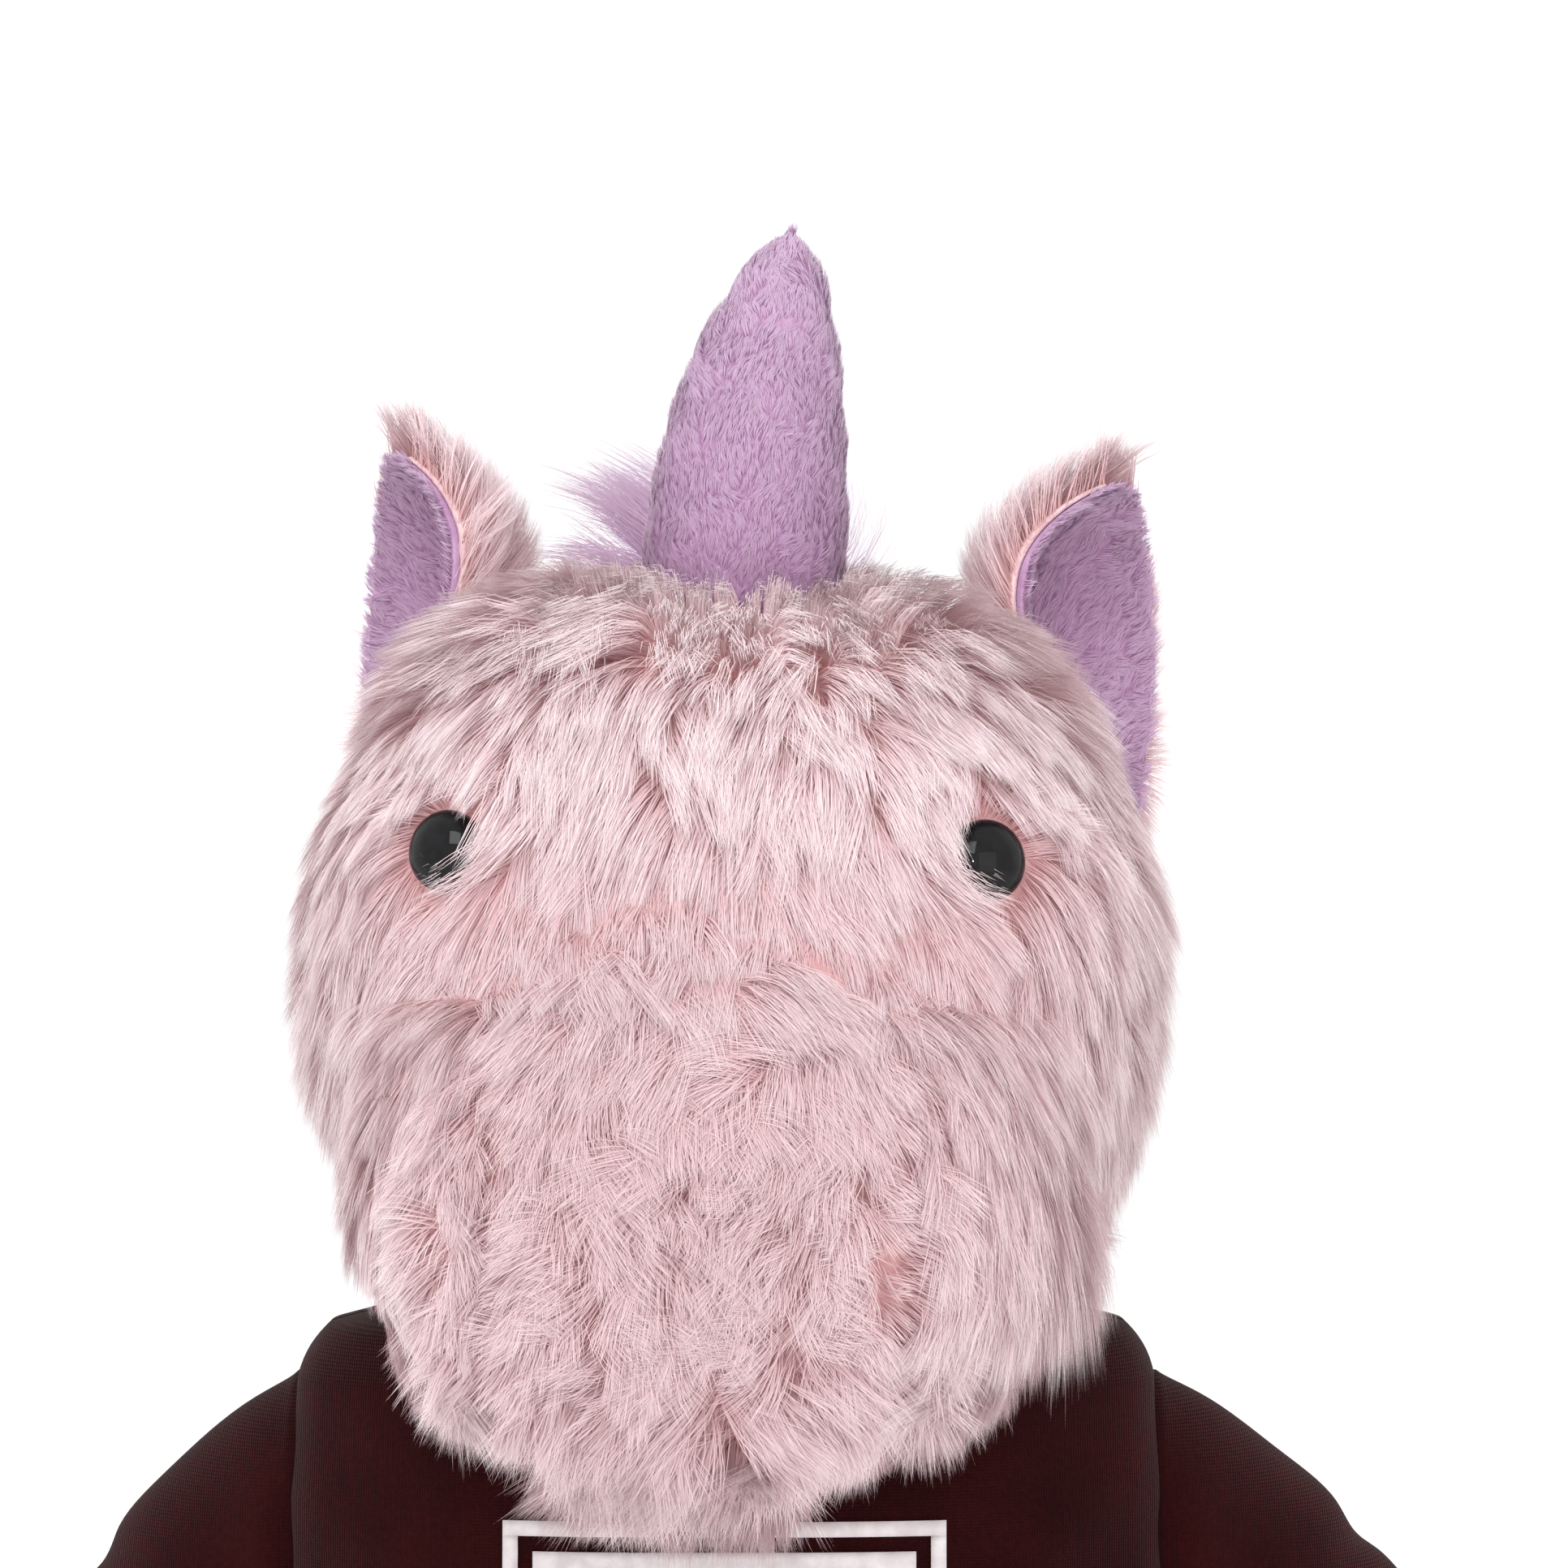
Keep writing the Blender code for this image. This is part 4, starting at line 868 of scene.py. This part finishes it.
def build_mane():
    rows = []
    start = np.array((0, -0.018, 0.226))
    angles = np.linspace(math.radians(66), math.radians(-20), 24)
    directions = np.stack((0 * angles, np.cos(angles), np.sin(angles)), -1)
    edges = head_hit(start[None], directions)
    for edge, direction in zip(edges, directions):
        row = []
        for angle in np.linspace(math.pi, 0, 9):
            across = np.array((0.0085 * math.cos(angle), 0, 0))
            row.append(edge + direction * (0.0012 + 0.0050 * math.sin(angle)) + across)
        rows.append(row)
    rows = np.array(rows)
    low = rows - (directions * 0.0010)[:, None]
    verts, faces = thick_patch(rows, low)
    strip = build("mane_base", head_turn(verts), faces, LAVENDER_BACKING)
    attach(strip, "head")
    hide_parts("mane_strip")
    verts, faces = loft(rows, wrap=False)
    skin = skin_of(verts, faces, start)

    def style(at, normals):
        count = len(at)
        front = step(at[:, 2], 0.286, 0.298)
        side = np.sign(at[:, 0] + 0.002)
        flow = np.stack((side * 0.55, full(count, 0.35), full(count, -0.9)), -1)
        rise = np.stack((full(count, -0.8), full(count, 0.05), full(count, 0.9)), -1)
        flow = flow * (1 - front)[:, None] + rise * front[:, None]
        return {"flow": flow, "length": 0.030 + 0.020 * front, "lift": 0.45 + 0.75 * front,
                "tint": full(count, 0.75), "hang": 0.18 - 0.14 * front, "mess": full(count, 1.0)}

    fur("mane_pile", "head", skin, style, LAVENDER_LONG, density=7.0, width=0.00024,
        tuft_mm2=26.0, wisp_mm2=5.0, turns=(0.35, 0.18, 0.08), turned=True)


# ---- torso and sweatshirt ----

def trunk_at(height):
    table = np.array(TRUNK)
    return tuple(np.interp(height, table[:, 0], table[:, i]) for i in (1, 2))


def torso_row(height, half_width, half_depth, grow, flat, angles):
    c, s = np.cos(angles), np.sin(angles)
    u = np.sign(c) * np.abs(c) ** (2 / TORSO_POWER) * (half_width + grow)
    v = np.sign(s) * np.abs(s) ** (2 / TORSO_POWER) * (half_depth + grow)
    limit = flat + grow
    over = np.abs(u) - (limit - 0.006)
    soft = (limit - 0.006) + 0.006 * np.tanh(np.maximum(over, 0) / 0.008)
    u = np.where(over > 0, np.sign(u) * soft, u)
    rise = grow * float(step(height, 0.135, 0.158))
    return np.stack((u, TORSO_Y + v, np.full_like(u, height + rise)), -1)


def build_torso():
    angles = around(64)
    rows = [torso_row(*section, -0.0002, HIP_PLANE, angles) for section in PELVIS]
    for z in np.linspace(0.0740, 0.1636, 26):
        rows.append(torso_row(z, *trunk_at(z), -0.0012, SIDE_PLANE - 0.001, angles))
    rows.append(torso_row(0.1640, 0.020, 0.018, 0.0, SIDE_PLANE, angles))
    verts, faces = loft(rows, (0, TORSO_Y, 0.0005), (0, TORSO_Y, 0.1642))
    body = build("torso_cover", verts, faces, PINK_BACKING)
    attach(body, "torso")
    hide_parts("body_front", "body_back")
    sections = ((0.004, 0.040, 0.044), (0.012, 0.045, 0.048), (0.030, 0.0455, 0.049), (0.072, 0.046, 0.050))
    low = [torso_row(*section, 0.0, HIP_PLANE, angles) for section in sections]
    verts, faces = loft(low)
    skin = skin_of(verts, faces, np.array((0, TORSO_Y, 0.035)))

    def style(at, normals):
        count = len(at)
        foot = step(at[:, 2], 0.004, 0.022)
        away = 1 - foot
        flow = np.stack((at[:, 0] * 8 * away, (at[:, 1] - TORSO_Y) * 8 * away, -foot), -1)
        beside = np.abs(at[:, 0]) > HIP_PLANE - 0.003
        amount = np.where(beside & (at[:, 1] < 0.022), 0.0, 1.0)
        return {"flow": flow, "length": 0.009 + 0.004 * foot, "lift": full(count, 0.40),
                "tint": full(count, 0.6), "hang": 0.06 * foot, "amount": amount}

    fur("body_fur", "torso", skin, style, PINK_FUR, density=1.5, width=0.00034)


def shirt_relief(points):
    """Soft drag lines of the jersey: from the armholes to the chest, and slack above the hem."""
    x, z = points[..., 0], points[..., 2]
    side = np.abs(x)
    drag = np.sin((z - 0.55 * side) * 230 + np.sin(x * 60) * 0.8)
    drag = drag * bump(side, 0.066, 0.018) * bump(z, 0.118, 0.022)
    slack = np.sin(x * 150 + np.sin(z * 120) * 1.2) * bump(z, 0.0925, 0.007)
    chest = np.sin(z * 150 + x * 26) * bump(z, 0.145, 0.010) * 0.6
    return 0.0007 * drag + 0.0006 * slack + 0.0004 * chest


def build_shirt():
    heights = np.concatenate((np.linspace(HEM_TOP_Z + 0.0004, 0.130, 30), np.linspace(0.131, 0.1640, 34)))
    for facing, word in ((-1, "front"), (1, "back")):
        spread = np.linspace(math.pi, 2 * math.pi, 90) if facing < 0 else np.linspace(0, math.pi, 90)
        grid = np.array([torso_row(z, *trunk_at(z), SHIRT_GROW, SIDE_PLANE, spread) for z in heights])
        grid[..., 1] += facing * 0.0002
        verts, faces = loft(grid, wrap=False)
        skin = skin_of(verts, faces, np.array((0, TORSO_Y, 0.125)))
        verts = skin[0] + skin[2] * shirt_relief(skin[0])[:, None]
        hole = (np.abs(verts[:, 0]) > 0.078) & (np.hypot(verts[:, 1], verts[:, 2] - SHOULDER_Z) < 0.0222)
        faces = [f for f in faces if not hole[list(f)].any()]
        used = sorted({i for f in faces for i in f})
        index = {old: new for new, old in enumerate(used)}
        faces = [tuple(index[i] for i in f) for f in faces]
        panel = build("shirt_panel_" + word, verts[used], faces, JERSEY)
        thicken(panel, "cloth", JERSEY_THICKNESS)
        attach(panel, "torso")
        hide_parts("shirt_" + word)


def build_ribs():
    angles = around(360)
    ribbing = 0.00028 * np.sin(angles * 90)
    rows = []
    profile = ((0.0735, -0.0016), (0.0733, 0.0), (0.0745, 0.0009), (0.079, 0.0011), (0.0838, 0.0009),
               (0.0852, 0.0002), (0.0853, -0.0014))
    for z, out in profile:
        row = torso_row(z, *trunk_at(z), SHIRT_GROW + out, SIDE_PLANE - 0.0007, angles)
        middle = np.array((0, TORSO_Y, z))
        rows.append(row + unit(row - middle) * (ribbing * (out > 0.0005))[:, None])
    verts, faces = loft(rows + [rows[0]])
    hem = build("shirt_hem", verts, faces, RIB)
    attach(hem, "torso")
    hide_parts("shirt_hem_rib")
    rows = []
    profile = ((0.1652, -0.0020), (0.1650, 0.0), (0.1672, 0.0005), (0.1695, -0.0004), (0.1706, -0.0014),
               (0.1700, -0.0028))
    for z, out in profile:
        radius = COLLAR_RADIUS + out + 0.00025 * np.sin(angles * 72) * (out > -0.001)
        x, y = np.cos(angles) * radius, TORSO_Y + np.sin(angles) * radius
        rows.append(np.stack((x, y, np.full_like(angles, z)), -1))
    verts, faces = loft(rows + [rows[0]])
    collar = build("shirt_collar", verts, faces, RIB)
    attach(collar, "torso")
    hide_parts("shirt_collar_rib")


def build_print():
    """A plain off-white panel with a framing line, as thin film on the jersey."""
    half, low, high = 0.041, 0.0900, 0.1290
    grow = SHIRT_GROW + 0.0009
    verts, faces = [], []
    line, inset = 0.0028, 0.0056
    cells = ((-half, half, high - line, high),
             (-half, half, low, low + line),
             (-half, -half + line, low + line, high - line),
             (half - line, half, low + line, high - line),
             (-half + inset, half - inset, low + inset, high - inset))
    for left, right, bottom, top in cells:
        columns = max(3, int((right - left) / 0.0012))
        lines = max(3, int((top - bottom) / 0.0012))
        grid = []
        for z in np.linspace(bottom, top, lines):
            half_width, half_depth = trunk_at(z)
            x = np.linspace(left, right, columns)
            reach = (np.abs(x) / (half_width + grow)) ** (TORSO_POWER / 2)
            spread = np.arcsin(reach) * np.sign(x)
            y = TORSO_Y - np.cos(spread) ** (2 / TORSO_POWER) * (half_depth + grow)
            row = np.stack((x, y, np.full_like(x, z)), -1)
            row[:, 1] -= shirt_relief(row)
            grid.append(row)
        new, more = loft(grid, wrap=False)
        faces += [tuple(i + len(verts) for i in f) for f in more]
        verts += list(new)
    panel = build("chest_print", np.array(verts), faces, PRINT)
    thicken(panel, "film", FILM_THICKNESS)
    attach(panel, "torso")
    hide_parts("shirt_print")


# ---- arms ----

def arm_along(side):
    return np.array((side * math.sin(ARM_ANGLES[side]), 0, -math.cos(ARM_ANGLES[side])))


def arm_ring(side, distance, radius, inset, segments=56):
    turn = float(step(distance, 0.0, ARM_TURN)) * (math.pi / 2 - ARM_ANGLES[side])
    across = np.array((side * math.sin(turn), 0, math.cos(turn)))
    centre = np.array((side * SLEEVE_PLANE, 0, SHOULDER_Z)) + arm_along(side) * distance
    angles = around(segments)
    radii = np.asarray(radius) * np.ones(segments)
    ring = np.array((0, 1.0, 0)) * np.cos(angles)[:, None] + across * np.sin(angles)[:, None]
    row = centre + ring * radii[:, None]
    row[:, 0] = side * np.maximum(side * row[:, 0], SLEEVE_PLANE + inset)
    return row


def arm_radius(distance):
    return ARM_ROOT_RADIUS + (ARM_RADIUS - ARM_ROOT_RADIUS) * float(step(distance, 0.0, ARM_TURN))


def build_arm(side, word):
    body = "arm_" + word
    places = np.linspace(0.0, ARM_HOOF_START - 0.0003, 30)
    rows = [arm_ring(side, s, arm_radius(s) - 0.0004, 0.0022) for s in places]
    centre = np.array((side * (SLEEVE_PLANE + 0.0022), 0, SHOULDER_Z))
    verts, faces = loft(rows, centre, rows[-1].mean(0))
    skin = build("arm_cover_" + word, verts, faces, PINK_BACKING)
    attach(skin, body)
    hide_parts("arm_skin_" + word)
    rows = []
    for angle in np.linspace(0, math.pi / 2, 18)[:-1]:
        distance = ARM_HOOF_START + (ARM_LENGTH - ARM_HOOF_START) * math.sin(angle)
        rows.append(arm_ring(side, distance, (ARM_RADIUS - 0.0006) * math.cos(angle) ** 0.7, 0.0))
    tip = np.array((side * SLEEVE_PLANE, 0, SHOULDER_Z)) + arm_along(side) * (ARM_LENGTH - 0.0006)
    verts, faces = loft(rows, rows[0].mean(0), tip)
    hoof = build("arm_hoof_plush_" + word, verts, faces, LAVENDER_BACKING)
    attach(hoof, body)
    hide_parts("arm_hoof_" + word)
    pile_verts, pile_faces = loft(rows, None, tip)
    pile_skin = skin_of(pile_verts, pile_faces, rows[0].mean(0))
    pile_on("arm_hoof_pile_" + word, body, pile_skin, arm_along(side))
    places = np.linspace(SLEEVE_LENGTH + CUFF_LENGTH - 0.001, ARM_HOOF_START, 5)
    band = [arm_ring(side, s, ARM_RADIUS - 0.0006, 0.0) for s in places]
    verts, faces = loft(band)
    along = arm_along(side)

    def style(at, normals):
        count = len(at)
        return {"flow": np.repeat(along[None], count, 0), "length": full(count, 0.0085),
                "lift": full(count, 0.45), "tint": full(count, 0.62), "hang": full(count, 0.04)}

    fur("arm_fur_" + word, body, skin_of(verts, faces, band[2].mean(0)), style, PINK_FUR,
        density=2.6, width=0.00030, tuft_mm2=24.0, wisp_mm2=4.0)


def pile_on(name, body, skin, along):
    """Short lavender pile of a hoof or sole."""
    def style(at, normals):
        count = len(at)
        flow = np.repeat(along[None] + np.array([[0, 0, -0.15]]), count, 0)
        return {"flow": flow, "length": full(count, 0.0026), "lift": full(count, 0.60),
                "tint": full(count, 0.62), "hang": full(count, 0.0)}

    fur(name, body, skin, style, LAVENDER_PILE, density=3.0, width=0.00028, tuft_mm2=22.0,
        wisp_mm2=2.4, points=3, turns=PLUSH_TURNS, pulls=(0.2, 0.4), evenness=PLUSH_EVENNESS)


def sleeve_radius(side, distance, segments):
    """Slack of the sleeve: fullest at the armhole, with folds under the shoulder and above the cuff."""
    ease = 0.0010 + 0.0030 * (1 - float(step(distance, 0.0, 0.05)))
    angles = around(segments)
    part = distance / SLEEVE_LENGTH
    folds = 0.0011 * np.sin(distance * 330 + 1.1 * np.sin(angles + side))
    folds = folds * (0.35 + 0.65 * np.cos(angles - 0.9) ** 2)
    folds = folds * (bump(part, 0.42, 0.20) + 0.8 * bump(part, 0.88, 0.13))
    puff = 0.0009 * bump(part, 0.10, 0.09)
    return arm_radius(distance) + ease + 0.0015 + folds + puff


def build_sleeve(side, word):
    body = "arm_" + word
    segments = 72
    places = np.linspace(0.0, SLEEVE_LENGTH + 0.001, 60)
    rows = [arm_ring(side, s, sleeve_radius(side, s, segments), 0.0, segments) for s in places]
    tuck = rows[0] - np.array((side * SLEEVE_TUCK, 0, 0))
    verts, faces = loft([tuck] + rows)
    sleeve = build("sleeve_cloth_" + word, verts, faces, JERSEY)
    thicken(sleeve, "cloth", JERSEY_THICKNESS, offset=-1.0 if side > 0 else 1.0)
    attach(sleeve, body)
    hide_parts("sleeve_" + word)
    segments = 240
    angles = around(segments)
    ribbing = 0.00030 * np.sin(angles * 48)
    profile = ((0.0, -0.0010), (0.0002, 0.0008), (0.002, 0.0019), (0.006, 0.0022), (0.010, 0.0019),
               (0.0118, 0.0010), (0.0116, -0.0008))
    rows = []
    for s, out in profile:
        radius = ARM_RADIUS + out + ribbing * (out > 0.0012)
        rows.append(arm_ring(side, SLEEVE_LENGTH + s, radius, 0.0, segments))
    verts, faces = loft(rows + [rows[0]])
    cuff = build("cuff_rib_" + word, verts, faces, RIB)
    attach(cuff, body)
    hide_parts("cuff_" + word)


# ---- legs ----

def leg_axis(side):
    return np.array((side * math.sin(LEG_SPLAY), -math.cos(LEG_SPLAY), 0))


def leg_ring(side, distance, radius, inset, segments=72):
    along = leg_axis(side)
    across = np.array((-along[1], along[0], 0))
    centre = np.array((side * (LEG_PLANE + LEG_RADIUS), HIP_Y, HIP_Z)) + along * distance
    angles = around(segments)
    row = centre + (across * np.cos(angles)[:, None] + UP * np.sin(angles)[:, None]) * (radius - inset)
    row[:, 0] = side * np.maximum(side * row[:, 0], LEG_PLANE + inset)
    row[:, 2] = np.maximum(row[:, 2], inset)
    return row


def leg_radius(distance):
    if distance < 0:
        return math.sqrt(max(LEG_RADIUS ** 2 - distance ** 2, 0.0))
    bow = math.sin(math.pi * min(distance / (LEG_LENGTH - LEG_HOOF_LENGTH), 1.0))
    return LEG_RADIUS - (LEG_RADIUS - LEG_WAIST) * bow


def build_leg(side, word):
    body = "leg_" + word
    knee_end = LEG_LENGTH - LEG_HOOF_LENGTH
    back = [-LEG_RADIUS * math.sin(a) for a in np.linspace(0, math.pi / 2, 14)[1:-1]]
    stations = list(np.linspace(knee_end, 0, 30)) + back
    rows = [leg_ring(side, s, leg_radius(s), LEG_INSET) for s in stations]
    pole = np.array((side * (LEG_PLANE + LEG_RADIUS), HIP_Y, HIP_Z))
    pole = pole - leg_axis(side) * (LEG_RADIUS - LEG_INSET)
    verts, faces = loft(rows, rows[0].mean(0), pole)
    cover = build("leg_cover_" + word, verts, faces, PINK_BACKING)
    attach(cover, body)
    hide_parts("leg_skin_" + word)
    along = leg_axis(side)
    open_verts, open_faces = loft(rows, None, pole)

    def style(at, normals):
        count = len(at)
        inside = side * at[:, 0] < LEG_PLANE + 0.0025
        amount = np.where(inside | (at[:, 2] < 0.0016), 0.0, 1.0)
        low = step(-at[:, 2], -0.014, -0.002)
        flow = along[None] * 0.8 - UP[None] * 0.45 * (1 - low)[:, None]
        return {"flow": flow, "length": 0.0145 - 0.007 * low, "lift": 0.42 - 0.22 * low,
                "tint": full(count, 0.62), "hang": 0.05 * (1 - low), "amount": amount}

    def above_floor(at, paths):
        return paths[..., 2].min(1) > 0.0002

    inside_leg = np.array((side * 0.08, -0.06, 0.031))
    fur("leg_fur_" + word, body, skin_of(open_verts, open_faces, inside_leg), style, PINK_FUR,
        density=1.5, width=0.00034, keep=above_floor)

    band = [leg_ring(side, s, LEG_RADIUS + 0.0006 * math.sin(math.pi * k / 10), LEG_INSET)
            for k, s in enumerate(np.linspace(knee_end, LEG_LENGTH, 11))]
    verts, faces = loft(band, band[0].mean(0), band[-1].mean(0))
    hoof = build("leg_hoof_plush_" + word, verts, faces, LAVENDER_BACKING)
    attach(hoof, body)
    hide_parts("leg_hoof_" + word)
    verts, faces = loft(band)
    pile_on("leg_hoof_pile_" + word, body, clipped(skin_of(verts, faces, band[5].mean(0))), along)
    crown_rows = []
    for k in range(14):
        part = k / 13
        inset = LEG_INSET + 0.030 * (1 - math.cos(part * math.pi / 2))
        bulge = 0.0003 + 0.0030 * math.sin(part * math.pi / 2) ** 0.8
        crown_rows.append(leg_ring(side, LEG_LENGTH + bulge, LEG_RADIUS, inset))
    start = crown_rows[0].mean(0)
    end = crown_rows[-1].mean(0)
    verts, faces = loft(crown_rows, start, end)
    sole = build("sole_pad_" + word, verts, faces, LAVENDER_BACKING)
    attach(sole, body)
    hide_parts("sole_" + word)
    verts, faces = loft(crown_rows, None, end)
    pile_on("sole_pile_" + word, body, clipped(skin_of(verts, faces, start - along * 0.02)), -UP)


def clipped(skin):
    """A skin without the triangles that lie on the floor."""
    verts, tris, normals = skin
    high = verts[tris][:, :, 2].max(1) > SOLE_CLEARANCE
    return verts, tris[high], normals


# ---- tail ----

def tail_centre(part):
    return TAIL_ROOT + np.array((0, TAIL_LENGTH * part - 0.011, -TAIL_DROP * float(step(part, 0.0, 1.0))))


def build_tail():
    rows = []
    angles = around(24)
    for part in np.linspace(0.04, 0.80, 20):
        radius = 0.0075 * math.sin(math.pi * (0.25 + 0.70 * part)) + 0.001
        ring = np.stack((np.cos(angles), 0.25 * np.sin(angles), 0.97 * np.sin(angles)), -1) * radius
        rows.append(tail_centre(part) + ring)
    verts, faces = loft(rows, tail_centre(0.0), tail_centre(0.86))
    core = build("tail_core", verts, faces, LAVENDER_BACKING)
    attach(core, "tail")
    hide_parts("tail")
    skin = skin_of(verts, faces, tail_centre(0.4))

    def style(at, normals):
        count = len(at)
        flow = np.repeat(np.array([[0, 1.0, -0.35]]), count, 0)
        return {"flow": flow, "length": 0.026 - 0.010 * step(at[:, 1], 0.085, 0.125),
                "lift": full(count, 0.40), "tint": full(count, 0.7), "hang": full(count, 0.16)}

    def short(at, paths):
        return (paths[..., 2].min(1) > SOLE_CLEARANCE) & (paths[..., 1].max(1) < TAIL_PILE_END)

    fur("tail_pile", "tail", skin, style, LAVENDER_LONG, density=6.0, width=0.00030,
        tuft_mm2=40.0, wisp_mm2=6.0, keep=short)


# ---- carried-over CAD pieces ----

def carried():
    """Gives each CAD node that scene.py keeps its own material."""
    plain = {"head_filling": FILLING, "horn_filling": FILLING, "body_filling": FILLING,
             "bean_bag": BEAN_CLOTH, "neck": PINK_BACKING, "seat_panel": PINK_BACKING, "care_label": LABEL}
    for _, word in SIDES:
        plain["eye_washer_" + word] = WASHER
        plain["arm_filling_" + word] = FILLING
        plain["leg_filling_" + word] = FILLING
    for name, look in plain.items():
        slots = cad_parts[name].material_slots
        for place in slots:
            place.material = look


# ---- light, floor and camera ----

WORLD_LIGHT = 1.10
PAPER = (0.94, 0.94, 0.94)
LIGHTS = (("key", (-0.25, -1.15, 1.15), (0, 0, 0.2), 0.7, 8.5),     # name, place, aim, size and power
          ("fill", (0.7, -1.2, 0.4), (0, 0, 0.2), 0.9, 2.0),
          ("spark", (-0.06, -1.3, 0.42), (0, 0, 0.25), 0.05, 1.4))


def build_stage():
    """Pale paper under the toy, soft lights in front of it, and the camera."""
    scene = bpy.context.scene
    scene.view_settings.view_transform = "Standard"
    world = bpy.data.worlds.new("studio")
    scene.world = world
    world.use_nodes = True
    background = world.node_tree.nodes["Background"]
    background.inputs["Color"].default_value = (1.0, 1.0, 1.0, 1.0)
    background.inputs["Strength"].default_value = WORLD_LIGHT
    paper, _ = principled("paper", PAPER, 0.9)
    angles = around(96)
    ring = np.stack((np.cos(angles), np.sin(angles), 0 * angles), -1)
    rows = [ring * r - UP * 0.0001 for r in (6.0, 2.0, 0.5)]
    verts, faces = loft(rows, None, (0, 0, -0.0001))
    floor = build("floor", verts, faces, paper)
    for name, place, aim, size, power in LIGHTS:
        light = bpy.data.lights.new(name, "AREA")
        light.size = size
        light.energy = power
        lamp = bpy.data.objects.new(name, light)
        lamp.location = place
        lamp.rotation_euler = (Vector(aim) - Vector(place)).to_track_quat("-Z", "Y").to_euler()
        scene.collection.objects.link(lamp)
    camera = bpy.data.cameras.new("camera")
    camera.lens = 118.0
    camera.sensor_width = 36.0
    camera.clip_start = 0.01
    eye = bpy.data.objects.new("camera", camera)
    eye.location = (0.011, -1.0, 0.265)
    eye.rotation_euler = (math.radians(90), 0, 0)
    scene.collection.objects.link(eye)
    scene.camera = eye


build_stage()
build_head()
build_horn()
build_mane()
build_torso()
build_shirt()
build_ribs()
build_print()
for side, word in SIDES:
    build_eye(side, word)
    build_ear(side, word)
    build_arm(side, word)
    build_sleeve(side, word)
    build_leg(side, word)
build_tail()
carried()
